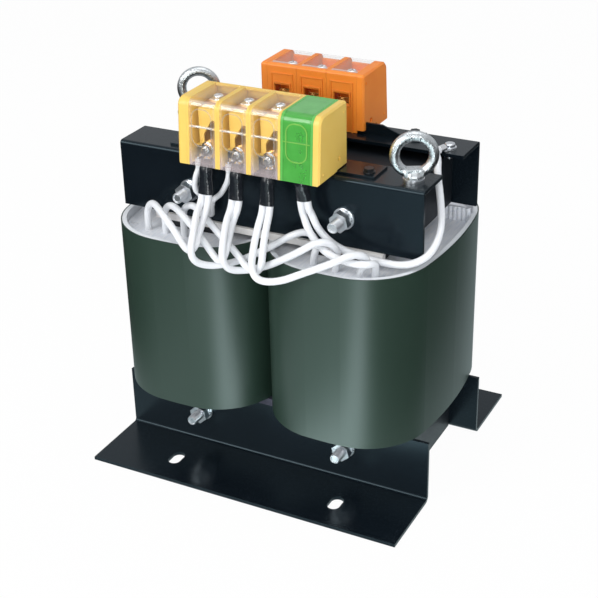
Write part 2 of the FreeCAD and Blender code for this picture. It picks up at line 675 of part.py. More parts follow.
def pole_housing(x):
    """Moulded pole: side walls, a back wall with a window, a floor on the rail and a pedestal below the bar."""
    half = (POLE_PITCH - POLE_GAP) / 2
    inner, top, outer = body_outline(0)
    wall = inner + BACK_WALL
    outline = [
        (inner, SKIRT_Z), (inner, top), *outer, (THROAT, BLOCK_BOTTOM), (THROAT, FLOOR_Z), (wall, FLOOR_Z),
        (wall, SKIRT_Z),
    ]
    body = side_profile(outline, x - half, x + half, -1)
    body = crown_edges(body, -1, 0)
    cell_half = half - SIDE_WALL
    over = top + BACK_WALL
    beyond = BLOCK_OUTER_OUT + BACK_WALL
    floor_top = FLOOR_Z + FLOOR_THICK
    cover_edge = inner + COVER_START
    body = body.cut(side_profile([
        (wall, floor_top), (wall, top - BACK_WALL), (cover_edge, top - BACK_WALL), (cover_edge, over),
        (beyond, over), (beyond, BLOCK_BOTTOM), (THROAT, BLOCK_BOTTOM), (THROAT, floor_top),
    ], x - cell_half, x + cell_half, -1))
    window_z = BLOCK_BOTTOM + BACK_WINDOW_RISE
    body = body.cut(block(
        x - BACK_WINDOW_WIDTH / 2, x + BACK_WINDOW_WIDTH / 2, -wall, -inner, window_z, window_z + BACK_WINDOW_HEIGHT,
    ))
    reach = BAR_WIDTH / 2 - PEDESTAL_NARROWER
    pedestal = block(x - reach, x + reach, -THROAT, -inner - PEDESTAL_START, floor_top, BAR_TOP - BAR_THICK)
    body = body.fuse(pedestal)
    return body.cut(screw_hole(x)).removeSplitter()


def rounded_frame(x, z, width, height, corner, line, depth):
    """Upright rounded rectangle frame, used for the raised line on a cover."""
    def slab(w, h, r):
        solid = block(x - w / 2, x + w / 2, -depth[1], -depth[0], z - h / 2, z + h / 2)
        return solid.makeFillet(r, [e for e in solid.Edges if abs(e.tangentAt(e.FirstParameter).y) > 0.9])
    return slab(width, height, corner).cut(slab(width - 2 * line, height - 2 * line, corner - line))


def cover(x):
    """See-through snap cover: a bent shell over the top and the wiring side, with a raised arched line."""
    half = (POLE_PITCH - POLE_GAP) / 2 - SIDE_WALL - COVER_CLEARANCE
    start = BLOCK_INNER_OUT + COVER_START + COVER_CLEARANCE
    foot = BLOCK_BOTTOM + COVER_FOOT

    def shell_block(inset):
        top = BLOCK_TOP - inset
        outline = [
            (start - 20, foot - 20), (start - 20, top), (outer_line(top) - inset, top),
            (outer_line(foot - 20) - inset, foot - 20),
        ]
        solid = side_profile(outline, x - half, x + half, -1)
        return round_edges(solid, BLOCK_CORNER - inset,
                           lambda p, d: along_x(d) and near(p.z, top) and near(p.y, inset - outer_line(top)))

    trim = block(x - half, x + half, -BLOCK_OUTER_OUT - 9, -start, foot, BLOCK_TOP + 9)
    shell = shell_block(0).cut(shell_block(COVER_THICK)).common(trim)
    frame = rounded_frame(x, BLOCK_BOTTOM + RELIEF_RISE, RELIEF_WIDTH, RELIEF_LENGTH, RELIEF_CORNER, RELIEF_LINE,
                          (BLOCK_OUTER_OUT - 12, BLOCK_OUTER_OUT + 9))
    crease_z = BLOCK_BOTTOM + CREASE_RISE
    crease = block(x - half, x + half, -BLOCK_OUTER_OUT - 9, -BLOCK_OUTER_OUT + 12,
                   crease_z, crease_z + CREASE_HEIGHT)
    proud = shell_block(-RELIEF_PROUD).cut(shell_block(COVER_THICK / 2))
    proud = proud.common(trim)
    return shell.fuse([proud.common(frame), proud.common(crease)]).removeSplitter()


def screw_place(x, z):
    return x, -BLOCK_INNER_OUT - SCREW_SETBACK, z


def screw_hole(x):
    """Tapped hole for the upper screw, through the bar and down into the pedestal."""
    depth = BAR_THICK + 2 * SCREW
    return rod(SCREW + 2 * THREAD_FIT, depth, screw_place(x, BAR_TOP - depth), (0, 0, 1))


def terminal_bar(x):
    """Bent busbar of a pole: level below the screw, then down to the wiring stud."""
    start = BLOCK_INNER_OUT + BAR_START
    low = BLOCK_BOTTOM + COVER_FOOT
    back = BAR_FACE - BAR_THICK
    outline = [
        (start, BAR_TOP - BAR_THICK), (start, BAR_TOP), (BAR_FACE, BAR_TOP), (BAR_FACE, low), (back, low),
        (back, BAR_TOP - BAR_THICK),
    ]
    bar = side_profile(outline, x - BAR_WIDTH / 2, x + BAR_WIDTH / 2, -1)
    bar = round_edges(bar, BAR_THICK, lambda p, d: along_x(d) and near(p.y, -BAR_FACE) and near(p.z, BAR_TOP))
    bar = bar.cut(rod(TERMINAL_BOLT + 2 * THREAD_FIT, BAR_THICK, (x, -BAR_FACE, TERMINAL_Z), (0, 1, 0)))
    return bar.cut(screw_hole(x))


def terminal_screw(x):
    """Pan head screw with a square pressure plate on the level part of the bar."""
    place = screw_place(x, BAR_TOP + SCREW_PLATE_THICK)
    y, seat = place[1], place[2]
    half = SCREW_PLATE / 2
    plate = block(x - half, x + half, y - half, y + half, BAR_TOP, seat)
    head = rod(SCREW_HEAD, SCREW_HEAD_HEIGHT, place, (0, 0, 1))
    head = head.makeFillet(
        SCREW_HEAD_HEIGHT / 2, [e for e in head.Edges if near(e.CenterOfMass.z, seat + SCREW_HEAD_HEIGHT)]
    )
    for along, across in ((SCREW_HEAD, SCREW_SLOT), (SCREW_SLOT, SCREW_HEAD)):
        head = head.cut(block(
            x - along / 3, x + along / 3, y - across / 3, y + across / 3,
            seat + SCREW_HEAD_HEIGHT / 2, seat + SCREW_HEAD_HEIGHT
        ))
    length = SCREW_PLATE_THICK + BAR_THICK + SCREW
    shank = rod(SCREW, length, screw_place(x, seat - length), (0, 0, 1))
    return plate.fuse([head, shank]).removeSplitter()


def terminal_bolt(x):
    """Threaded stud pressed into the bar, its end towards the cover."""
    back = BAR_FACE - BAR_THICK
    end = BAR_FACE + LUG_THICK + TERMINAL_NUT_HEIGHT + TERMINAL_BOLT_END
    shank = rod(TERMINAL_BOLT, end - back, (x, -back, TERMINAL_Z), (0, -1, 0))
    rim = [e for e in shank.Edges if near(e.CenterOfMass.y, -end)]
    return shank.makeChamfer(TERMINAL_BOLT / 8, rim)


def terminal_nut(x, stack):
    """Flanged hexagon nut on the wiring stud, on top of what lies on the bar."""
    start = (x, -BAR_FACE - stack, TERMINAL_Z)
    flange = rod(TERMINAL_NUT_FLATS * 1.25, TERMINAL_NUT_HEIGHT / 4, start, (0, -1, 0))
    nut = hexagon(TERMINAL_NUT_FLATS, TERMINAL_NUT_HEIGHT, start, (0, -1, 0), 8).fuse(flange)
    return nut.cut(rod(TERMINAL_BOLT + 2 * THREAD_FIT, TERMINAL_NUT_HEIGHT, start, (0, -1, 0))).removeSplitter()


def barrel_top():
    return TERMINAL_Z - LUG_EYE / 2 - LUG_NECK


def side_barrel_place(x):
    """Lower end of the small side barrel of a lug."""
    return x - SIDE_BARREL_SHIFT, -BAR_FACE - SIDE_BARREL / 2, BLOCK_BOTTOM - SIDE_BARREL_DROP


def lead_lug(x, side_barrel):
    """Ring lug on the wiring stud with its barrel pointing down out of the pole, some with a small second barrel."""
    top = barrel_top()
    eye = rod(LUG_EYE, LUG_THICK, (x, -BAR_FACE, TERMINAL_Z), (0, -1, 0))
    half = LUG_BARREL / 2
    tongue = block(x - half, x + half, -BAR_FACE - LUG_THICK, -BAR_FACE, top, TERMINAL_Z)
    barrel = rod(LUG_BARREL, LUG_BARREL_LENGTH, (x, -LUG_OUT, top), (0, 0, -1))
    neck = Part.makeCone(half, half / 2, LUG_NECK, Vector(x, -LUG_OUT, top), Vector(0, 0, 1))
    lug = eye.fuse([tongue, barrel, neck])
    if side_barrel:
        place = side_barrel_place(x)
        small_top = BLOCK_BOTTOM + SIDE_BARREL_TOP
        small = rod(SIDE_BARREL, small_top - place[2], place, (0, 0, 1))
        arm = block(place[0], x, -BAR_FACE - LUG_THICK, -BAR_FACE, top, small_top + LUG_NECK)
        lug = lug.fuse([small, arm])
    hole = rod(TERMINAL_BOLT + 2 * THREAD_FIT, LUG_THICK, (x, -BAR_FACE, TERMINAL_Z), (0, -1, 0))
    return lug.cut(hole).removeSplitter()


def earth_lug_end():
    """Place and direction of the earth lug's open end, where the lead goes in."""
    turn = math.radians(EARTH_LUG_TURN)
    ahead = Vector(-math.cos(turn), -math.sin(turn), 0)
    screw = Vector(EARTH_X, WEB_FACE - EARTH_SETBACK, CLAMP_TOP + LUG_BARREL / 2)
    return screw + ahead * EARTH_LUG_REACH, ahead


def earth_lug():
    """Ring lug below the earth screw, lying on the rear clamp's flange."""
    end, ahead = earth_lug_end()
    x, y = EARTH_X, WEB_FACE - EARTH_SETBACK
    eye = rod(EARTH_WASHER, LUG_THICK, (x, y, CLAMP_TOP), (0, 0, 1))
    barrel = rod(LUG_BARREL, LUG_BARREL_LENGTH - LUG_NECK, tuple(end), tuple(-ahead))
    tongue_end = EARTH_LUG_REACH - LUG_BARREL_LENGTH + 2 * LUG_NECK
    tongue = block(0, tongue_end, -LUG_BARREL / 2, LUG_BARREL / 2, 0, LUG_THICK)
    tongue.Placement = FreeCAD.Placement(Vector(x, y, CLAMP_TOP), FreeCAD.Rotation(Vector(1, 0, 0), ahead))
    lug = eye.fuse([tongue, barrel])
    return lug.cut(rod(EARTH_SCREW + 2 * THREAD_FIT, LUG_THICK, (x, y, CLAMP_TOP), (0, 0, 1))).removeSplitter()


def sleeve(x, drop):
    """Shrink sleeve over a lug's barrel and the two leads below it."""
    barrel = barrel_top()
    top = BLOCK_BOTTOM + COVER_FOOT - LAYER_CLEARANCE
    low = BLOCK_BOTTOM - drop
    mouth = BLOCK_BOTTOM - LUG_NECK
    waist = low + (mouth - low) * 0.45
    points = [
        (SLEEVE_NECK / 2, top), (SLEEVE_NECK / 2, mouth), (SLEEVE_TOP / 2, mouth - 2 * LUG_NECK),
        (SLEEVE_WAIST / 2, waist), (SLEEVE_BOTTOM / 2, low + LUG_NECK), (SLEEVE_BOTTOM / 2, low),
    ]
    curve = Part.BSplineCurve()
    curve.interpolate([Vector(x + r, -LUG_OUT, z) for r, z in points])
    axis_top, axis_low = Vector(x, -LUG_OUT, top), Vector(x, -LUG_OUT, low)
    outline = Part.Wire([
        Part.makeLine(axis_top, axis_top + Vector(points[0][0], 0, 0)), curve.toShape(),
        Part.makeLine(axis_low + Vector(points[-1][0], 0, 0), axis_low), Part.makeLine(axis_low, axis_top),
    ])
    solid = Part.Face(outline).revolve(axis_low, Vector(0, 0, 1), 360)
    return solid.cut(rod(LUG_BARREL, LUG_BARREL_LENGTH, (x, -LUG_OUT, barrel), (0, 0, -1)))


def pole_places(count, shift=0.0):
    return [shift + POLE_PITCH * (step - (count - 1) / 2) for step in range(count)]


def terminal_bracket(foot_start, foot_end, web_out, web, web_foot_half, screw_out, floor_z):
    """Folded bracket on the clamp's flange: level foot, upright web and its holes."""
    foot_z = CLAMP_TOP + BRACKET_SHEET
    half = BRACKET_SCREW_PITCH / 2 + BRACKET_END
    foot = block(-half, half, -foot_end, -foot_start, CLAMP_TOP, foot_z)
    middle, top_half = web
    foot_left, foot_right = middle - web_foot_half, middle + web_foot_half
    rise = [(foot_left, CLAMP_TOP), (foot_right, CLAMP_TOP), (foot_right, foot_z), (middle + top_half, floor_z),
            (middle - top_half, floor_z), (foot_left, foot_z), (foot_left, CLAMP_TOP)]
    upright = Part.Face(Part.makePolygon([Vector(x, -web_out, z) for x, z in rise]))
    bracket = foot.fuse(upright.extrude(Vector(0, BRACKET_SHEET, 0)))
    for x, out in bracket_screw_places(screw_out):
        bracket = bracket.cut(rod(BRACKET_SCREW + 2 * THREAD_FIT, BRACKET_SHEET, (x, -out, CLAMP_TOP), (0, 0, 1)))
    return bracket


def rail(bracket, web_out, poles, shift, floor_z):
    """The bracket with its level rail outwards below the block."""
    half = poles * POLE_PITCH / 2 - RAIL_CLEARANCE
    plate = block(shift - half, shift + half, -RAIL_END, -web_out + BRACKET_SHEET, floor_z - BRACKET_SHEET, floor_z)
    return bracket.fuse(plate).removeSplitter()


def bracket_screw(x, out):
    """Black hexagon screw with a flange, tapped into the clamp."""
    z = CLAMP_TOP + BRACKET_SHEET
    head = hexagon(BRACKET_SCREW_FLATS, BRACKET_SCREW_HEAD, (x, -out, z), (0, 0, 1), 10)
    flange = rod(BRACKET_SCREW_FLANGE, BRACKET_SCREW_HEAD / 4, (x, -out, z), (0, 0, 1))
    length = BRACKET_SHEET + SHEET - LAYER_CLEARANCE
    shank = rod(BRACKET_SCREW, length, (x, -out, z - length), (0, 0, 1))
    return head.fuse([flange, shank]).removeSplitter()


def earth_screw():
    """Pan head screw with its washer on the rear clamp's flange."""
    y = WEB_FACE - EARTH_SETBACK
    seat = CLAMP_TOP + LUG_THICK
    top = seat + EARTH_WASHER_THICK + EARTH_HEAD_HEIGHT
    washer = rod(EARTH_WASHER, EARTH_WASHER_THICK, (EARTH_X, y, seat), (0, 0, 1))
    head = rod(EARTH_HEAD, EARTH_HEAD_HEIGHT, (EARTH_X, y, seat + EARTH_WASHER_THICK), (0, 0, 1))
    head = head.makeFillet(EARTH_HEAD_HEIGHT * 0.4, [e for e in head.Edges if near(e.CenterOfMass.z, top)])
    length = LUG_THICK + SHEET + EARTH_SCREW
    shank = rod(EARTH_SCREW, length, (EARTH_X, y, seat - length), (0, 0, 1))
    return washer.fuse([head, shank]).removeSplitter()


def lead(name, points, diameter):
    """Round lead along straight runs joined by tangent arcs."""
    points = [Vector(*point) for point in points]
    edges, radii, start = [], [], points[0]
    for before, corner, after in zip(points, points[1:], points[2:]):
        back, ahead = before - corner, after - corner
        reach = 0.45 * min(back.Length, ahead.Length)
        half_angle = back.getAngle(ahead) / 2
        radius = reach * math.tan(half_angle)
        back.normalize()
        ahead.normalize()
        inward = (back + ahead).normalize()
        enter, leave = corner + back * reach, corner + ahead * reach
        middle = corner + inward * (radius / math.sin(half_angle) - radius)
        edges.append(Part.LineSegment(start, enter).toShape())
        edges.append(Part.Arc(enter, middle, leave).toShape())
        radii.append(radius)
        start = leave
    edges.append(Part.LineSegment(start, points[-1]).toShape())
    route = Part.Wire(edges)
    section = Part.Wire([Part.Circle(points[0], points[1] - points[0], diameter / 2).toShape()])
    solid = route.makePipeShell([section], True, False)
    filled = solid.Volume / (math.pi * diameter ** 2 / 4 * route.Length)
    print(name, "length", round(route.Length), "smallest radius", round(min(radii), 1), "filled", round(filled, 3))
    return solid


def lead_points(name, pole, side, coil_end):
    """Route of a lead: straight out of its sleeve, along its course and straight into the coil or the earth lug."""
    drop = EARTH_SLEEVE_DROP if pole == FRONT_POLES - 1 else SLEEVE_DROP
    x = pole_places(FRONT_POLES, FRONT_BLOCK_SHIFT)[pole] + side * LEAD_SPREAD / 2
    z = BLOCK_BOTTOM - drop
    points = [(x, -LUG_OUT, z), (x, -LUG_OUT, z - LEAD_STRAIGHT)]
    points += [(a, -out, b) for a, out, b in COURSES[name]]
    if coil_end:
        end_x, out = coil_end
        z = COIL_TOP - END_RECESS
        return points + [(end_x, -out, z + LEAD_STRAIGHT), (end_x, -out, z)]
    end, ahead = earth_lug_end()
    return points + [tuple(end + ahead * LEAD_STRAIGHT), tuple(end)]


def jumper_points(name, pole, side):
    """Route of one half of the jumper: down from a lug's side barrel and into the closed cap."""
    x, y, z = side_barrel_place(pole_places(FRONT_POLES, FRONT_BLOCK_SHIFT)[pole])
    end_x = -CAP_FROM_MIDDLE + side * CAP_SPREAD / 2
    end_z = BLOCK_BOTTOM - CAP_DROP
    points = [(x, y, z), (x, y, z - JUMPER_STRAIGHT)] + [(a, -out, b) for a, out, b in COURSES[name]]
    return points + [(end_x, -CAP_OUT, end_z + JUMPER_STRAIGHT), (end_x, -CAP_OUT, end_z)]


def jumper_cap():
    """Closed end connector that hangs on both halves of the jumper."""
    low = BLOCK_BOTTOM - CAP_DROP - CAP_LENGTH
    cap = rod(CAP, CAP_LENGTH, (-CAP_FROM_MIDDLE, -CAP_OUT, low), (0, 0, 1))
    return cap.makeFillet(CAP / 3, [e for e in cap.Edges if near(e.CenterOfMass.z, low)])


front_clamp_places = bracket_screw_places(FRONT_SCREW_OUT)
rear_clamp_places = bracket_screw_places(REAR_SCREW_OUT)
angle = base_angle()
export("front_base_angle", [angle])
export("rear_base_angle", [turned(angle)])
export("front_top_clamp", [tapped(top_clamp(RIGHT_EYE), BRACKET_SCREW, front_clamp_places)])
rear_clamp = tapped(top_clamp(LEFT_EYE, REAR_CLAMP_SHORTER), BRACKET_SCREW, rear_clamp_places)
export("rear_top_clamp", [turned(tapped(rear_clamp, EARTH_SCREW, [(-EARTH_X, WEB_FACE - EARTH_SETBACK)]))])

lower_yoke, upper_yoke, legs = core()
export("lower_yoke", [lower_yoke])
export("upper_yoke", [upper_yoke])
for name, leg, x in zip(("left", "right"), legs, (-LEG_X, LEG_X)):
    export(name + "_leg", [leg])
    for layer, solids in coil(x).items():
        export(name + "_" + layer, solids)
export("insulation_strips", insulation_strips())

bolts, tubes, washers, springs, nuts = core_bolts()
export("core_bolts", bolts)
export("core_bolt_tubes", tubes)
export("core_bolt_washers", washers)
export("core_bolt_spring_washers", springs)
export("core_bolt_nuts", nuts)

export("right_eye_bolt", [eye_bolt(RIGHT_EYE)])
export("left_eye_bolt", [turned(eye_bolt(LEFT_EYE))])
export("eye_bolt_washers", [eye_washer(RIGHT_EYE), turned(eye_washer(LEFT_EYE))])
export("eye_bolt_nuts", [eye_nut(RIGHT_EYE), turned(eye_nut(LEFT_EYE))])

front_poles = pole_places(FRONT_POLES, FRONT_BLOCK_SHIFT)
rear_poles = pole_places(REAR_POLES, -REAR_BLOCK_SHIFT)
rear_floor = FLOOR_Z - REAR_BLOCK_DROP
front_half = FRONT_POLES * POLE_PITCH / 2 - FRONT_WEB_INSET
front_web = (FRONT_BLOCK_SHIFT, front_half)
rear_web = (0, REAR_WEB_TOP_HALF)
front_bracket = terminal_bracket(
    FRONT_FOOT_START, FRONT_WEB_OUT, FRONT_WEB_OUT, front_web, front_half, FRONT_SCREW_OUT, FLOOR_Z
)
rear_bracket = terminal_bracket(
    REAR_FOOT_START, REAR_FOOT_END, REAR_WEB_OUT, rear_web, REAR_WEB_FOOT_HALF, REAR_SCREW_OUT, rear_floor
)
front_bracket = rail(front_bracket, FRONT_WEB_OUT, FRONT_POLES, FRONT_BLOCK_SHIFT, FLOOR_Z)
rear_bracket = rail(rear_bracket, REAR_WEB_OUT, REAR_POLES, -REAR_BLOCK_SHIFT, rear_floor)
export("front_terminal_bracket", [front_bracket])
export("rear_terminal_bracket", [turned(rear_bracket)])
export("bracket_screws", [bracket_screw(x, out) for x, out in front_clamp_places]
       + [turned(bracket_screw(x, out)) for x, out in rear_clamp_places])

front_ends = (front_poles[0] - POLE_PITCH / 2, front_poles[-1] + POLE_PITCH / 2)
rear_ends = (rear_poles[0] - POLE_PITCH / 2, rear_poles[-1] + POLE_PITCH / 2)
export("front_pole_housings", [pole_housing(x) for x in front_poles[:-1]])
export("earth_pole_housing", [pole_housing(front_poles[-1])])
export("rear_pole_housings", [rear(pole_housing(x)) for x in rear_poles])
export("front_end_plates", [
    end_plate(front_ends[0], -1, FRONT_LEFT_PLATE, FRONT_WEB_OUT),
    end_plate(front_ends[1], 1, FRONT_RIGHT_PLATE, FRONT_WEB_OUT),
])
export("rear_end_plates", [
    rear(end_plate(end, side, REAR_PLATE, WEB_FACE, REAR_BLOCK_DROP, REAR_WEB_OUT))
    for end, side in zip(rear_ends, (-1, 1))
])
export("clear_covers", [cover(x) for x in front_poles[:-1]] + [rear(cover(x)) for x in rear_poles])
export("earth_pole_cover", [cover(front_poles[-1])])

export("terminal_bars", [terminal_bar(x) for x in front_poles] + [rear(terminal_bar(x)) for x in rear_poles])
export("terminal_screws", [terminal_screw(x) for x in front_poles] + [rear(terminal_screw(x)) for x in rear_poles])
export("terminal_bolts", [terminal_bolt(x) for x in front_poles] + [rear(terminal_bolt(x)) for x in rear_poles])
export("terminal_nuts", [terminal_nut(x, LUG_THICK) for x in front_poles]
       + [rear(terminal_nut(x, 0)) for x in rear_poles])
export("lead_lugs", [lead_lug(x, pole < 2) for pole, x in enumerate(front_poles)] + [earth_lug()])
export("lead_sleeves", [sleeve(x, SLEEVE_DROP) for x in front_poles[:-1]]
       + [sleeve(front_poles[-1], EARTH_SLEEVE_DROP)])
export("earth_screw", [earth_screw()])

for pole in range(FRONT_POLES - 1):
    for coil_side, side in (("right", -1), ("left", 1)):
        name = coil_side + "_lead_" + str(pole + 1)
        export(name, [lead(name, lead_points(name, pole, side, COIL_ENTRIES[name]), LEAD)])
export("earth_lead", [lead("earth_lead", lead_points("earth_lead", FRONT_POLES - 1, 1, None), LEAD)])
export("earth_lead_2", [
    lead("earth_lead_2", lead_points("earth_lead_2", FRONT_POLES - 1, -1, COIL_ENTRIES["earth_lead_2"]), LEAD)
])
export("jumper_left", [lead("jumper_left", jumper_points("jumper_left", 0, -1), JUMPER)])
export("jumper_right", [lead("jumper_right", jumper_points("jumper_right", 1, 1), JUMPER)])
export("jumper_cap", [jumper_cap()])
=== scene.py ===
import math

import bmesh
import bpy
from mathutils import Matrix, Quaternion, Vector


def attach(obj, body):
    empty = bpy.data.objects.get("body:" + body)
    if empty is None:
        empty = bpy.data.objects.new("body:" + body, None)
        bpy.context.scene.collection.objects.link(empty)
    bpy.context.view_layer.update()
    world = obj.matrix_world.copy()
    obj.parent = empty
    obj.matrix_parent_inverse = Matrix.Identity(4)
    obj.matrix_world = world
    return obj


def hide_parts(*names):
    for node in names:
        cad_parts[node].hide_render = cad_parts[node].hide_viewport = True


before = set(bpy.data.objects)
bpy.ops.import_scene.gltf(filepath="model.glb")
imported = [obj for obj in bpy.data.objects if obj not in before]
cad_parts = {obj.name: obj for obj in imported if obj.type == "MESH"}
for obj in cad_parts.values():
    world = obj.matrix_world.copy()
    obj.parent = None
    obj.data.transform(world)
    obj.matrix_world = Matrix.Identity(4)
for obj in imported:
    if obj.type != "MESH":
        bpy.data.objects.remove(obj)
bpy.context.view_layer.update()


# The studio: a white floor that runs out of sight, a broad soft lamp at the front left, a tall narrow one in
# front, one above and a weak one at the right. The upright sheen down both coils is mostly a painted
# reflection of a glowing strip on the floor. The camera stands at the photograph's viewing angle.
class Wire:
    """One socket of a material. Sums on it add Math nodes, and add() puts in any other node."""

    def __init__(self, tree, socket=None):
        self.tree = tree
        self.socket = socket

    def add(self, kind, settings=None, inputs=None, output=0):
        node = self.tree.nodes.new("ShaderNode" + kind)
        for name, value in (settings or {}).items():
            setattr(node, name, value)
        for name, value in (inputs or {}).items():
            if isinstance(value, Wire):
                self.tree.links.new(value.socket, node.inputs[name])
            elif isinstance(value, tuple) and node.inputs[name].type == "RGBA":
                node.inputs[name].default_value = (*value, 1)
            else:
                node.inputs[name].default_value = value
        return Wire(self.tree, node.outputs[output] if node.outputs else None)

    def sum(self, operation, first, second=0.0, clamp=False):
        settings = {"operation": operation, "use_clamp": clamp}
        return self.add("Math", settings, {0: first, 1: second})

    def __add__(self, other):
        return self.sum("ADD", self, other)

    def __radd__(self, other):
        return self.sum("ADD", other, self)

    def __sub__(self, other):
        return self.sum("SUBTRACT", self, other)

    def __rsub__(self, other):
        return self.sum("SUBTRACT", other, self)

    def __mul__(self, other):
        return self.sum("MULTIPLY", self, other)

    def __rmul__(self, other):
        return self.sum("MULTIPLY", other, self)

    def __pow__(self, other):
        return self.sum("POWER", self, other)

    def __gt__(self, other):
        return self.sum("GREATER_THAN", self, other)

    def __lt__(self, other):
        return self.sum("LESS_THAN", self, other)


def new_finish(name):
    """Empty material, the start of its wires and the place on the object, in metres."""
    material = bpy.data.materials.new(name)
    material.use_nodes = True
    material.node_tree.nodes.clear()
    wire = Wire(material.node_tree)
    return material, wire, wire.add("TexCoord", output="Object")


def axis(wire, place, letter):
    """One coordinate of a place."""
    return wire.add("SeparateXYZ", None, {"Vector": place}, letter)


def steps(wire, value, low, high, ramp="LINEAR"):
    """Value clamped and stretched from low..high to 0..1."""
    inputs = {"Value": value, "From Min": low, "From Max": high}
    return wire.add("MapRange", {"interpolation_type": ramp}, inputs)


def ray_kinds(wire):
    """Masks of the camera's rays, the mirrored ones and those that come through something clear."""
    kinds = ("Is Camera Ray", "Is Glossy Ray", "Is Transmission Ray")
    return [wire.add("LightPath", output=kind) for kind in kinds]


def shine(wire, colour, strength):
    """Surface that gives light itself."""
    return wire.add("Emission", None, {"Color": colour, "Strength": strength})


def blend(wire, amount, first, second):
    """Mix of two surfaces."""
    return wire.add("MixShader", None, {0: amount, 1: first, 2: second})


FLOOR_REACH = 8
floor_mesh = bpy.data.meshes.new("floor")
floor_corners = [(x * FLOOR_REACH, y * FLOOR_REACH, 0) for x, y in ((-1, -1), (1, -1), (1, 1), (-1, 1))]
floor_mesh.from_pydata(floor_corners, [], [(0, 1, 2, 3)])
floor = bpy.data.objects.new("floor", floor_mesh)
bpy.context.scene.collection.objects.link(floor)

# Painted reflections: glossy pieces see the floor dark, with a faint glow below the object and a bright
# glowing strip in front, which paint the gradient on the enamel and the upright sheen down both coils.
STRIP_SLANT = 0.44
STRIP_SHIFT = 0.017
STRIP_NORTH_END = -0.15
floor_finish, wire, place = new_finish("floor")
seen, mirrored, through = ray_kinds(wire)
east = axis(wire, place, "X")
north = axis(wire, place, "Y")
beside_strip = wire.sum("ABSOLUTE", east + north * STRIP_SLANT + STRIP_SHIFT)
# Painted reflection: a slanted glowing strip, seen only in glossy surfaces, paints the sheen down the coils.
painted_sheen_strip = steps(wire, beside_strip, 0.125, 0.015, "SMOOTHSTEP") * (north < STRIP_NORTH_END)
# Painted reflection: a faint glow across the floor under the object, seen only in glossy surfaces.
painted_reflection_pool = steps(wire, east, -0.40, -0.14, "SMOOTHSTEP") * steps(wire, east, 0.36, 0.12, "SMOOTHSTEP")
matt = wire.add("BsdfDiffuse", None, {"Color": (0.88, 0.88, 0.88)})
white = shine(wire, (1, 1, 1), 1.0)
# In reflections the rest of the floor is a dim glow, a painted dark reflection.
dark = shine(wire, (1, 1, 1), 0.02)
painted_sheen_glow = shine(wire, (0.80, 0.97, 1.0), 4.5)
lifted = blend(wire, wire.sum("MAXIMUM", seen, through) * 0.97, matt, white)
lifted = blend(wire, mirrored, lifted, dark)
lifted = blend(wire, mirrored * (painted_reflection_pool * 0.18 + painted_sheen_strip * 0.82), lifted, painted_sheen_glow)
wire.add("OutputMaterial", None, {"Surface": lifted})
floor_mesh.materials.append(floor_finish)

world = bpy.data.worlds.new("studio")
world.use_nodes = True
world.node_tree.nodes.clear()
wire = Wire(world.node_tree)
seen, mirrored, through = ray_kinds(wire)
open_white = wire.sum("ADD", seen + mirrored * 0.32, through, clamp=True)
around = wire.add("Background", None, {"Color": (0.90, 0.94, 1.0), "Strength": 0.45})
backdrop = wire.add("Background", None, {"Color": (1, 1, 1), "Strength": 1.0})
wire.add("OutputWorld", None, {"Surface": blend(wire, open_white, around, backdrop)})
bpy.context.scene.world = world


def soft_lamp(name, place, aim, width, height, power, colour):
    """Rectangular soft lamp turned towards a point."""
    light = bpy.data.lights.new(name, "AREA")
    light.shape = "RECTANGLE"
    light.size = width
    light.size_y = height
    light.energy = power
    light.color = colour
    lamp = bpy.data.objects.new(name, light)
    lamp.location = place
    lamp.rotation_euler = (Vector(aim) - Vector(place)).to_track_quat("-Z", "Y").to_euler()
    bpy.context.scene.collection.objects.link(lamp)
    return lamp


object_middle = (0.0, 0.0, 0.18)
coils_middle = (0.0, 0.0, 0.12)
soft_lamp("key_lamp", (-0.95, -1.75, 1.35), object_middle, 1.1, 1.3, 24, (1.0, 0.99, 0.97))
soft_lamp("strip_lamp", (0.66, -1.62, 0.55), coils_middle, 0.16, 1.1, 9, (0.97, 0.99, 1.0))
soft_lamp("top_lamp", (0.1, 0.1, 2.1), object_middle, 1.4, 1.4, 11, (1.0, 1.0, 1.0))
fill_lamp = soft_lamp("fill_lamp", (1.75, -0.85, 1.1), object_middle, 1.2, 1.0, 7, (1.0, 1.0, 1.0))
fill_lamp.visible_glossy = False

CAMERA_ROLL = math.radians(-1.331)
lens = bpy.data.cameras.new("camera")
lens.lens = 80.57
lens.sensor_width = 36
camera = bpy.data.objects.new("camera", lens)
camera.location = (0.5310, -1.0143, 0.7390)
camera_aim = Vector((0.0137, -0.0322, 0.1643))
level_turn = (camera_aim - camera.location).to_track_quat("-Z", "Y")
camera.rotation_euler = (level_turn @ Quaternion((0, 0, 1), CAMERA_ROLL)).to_euler()
bpy.context.scene.collection.objects.link(camera)
bpy.context.scene.camera = camera
bpy.context.scene.view_settings.view_transform = "Standard"


# Base angles, top clamps and terminal brackets: folded steel sheet, stove enamelled black and held by bolts
# and screws. The enamel is glossy, with a faint ripple, a little dust and softly rounded edges.
def dress(nodes, material):
    """Gives CAD nodes their material."""
    for name in nodes:
        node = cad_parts[name]
        if not node.material_slots:
            node.data.materials.append(material)
        for slot in node.material_slots:
            slot.material = material


def surface(wire, inputs):
    """Ends a material with its surface."""
    wire.add("OutputMaterial", None, {"Surface": wire.add("BsdfPrincipled", None, inputs)})


def tint(wire, amount, first, second):
    """Mix of two colours."""
    return wire.add("Mix", {"data_type": "RGBA"}, {0: amount, 6: first, 7: second}, 2)


def noise(wire, place, scale, detail=3.0, roughness=0.5):
    """Cloudy pattern from 0 to 1."""
    inputs = {"Vector": place, "Scale": scale, "Detail": detail, "Roughness": roughness}
    return wire.add("TexNoise", None, inputs)


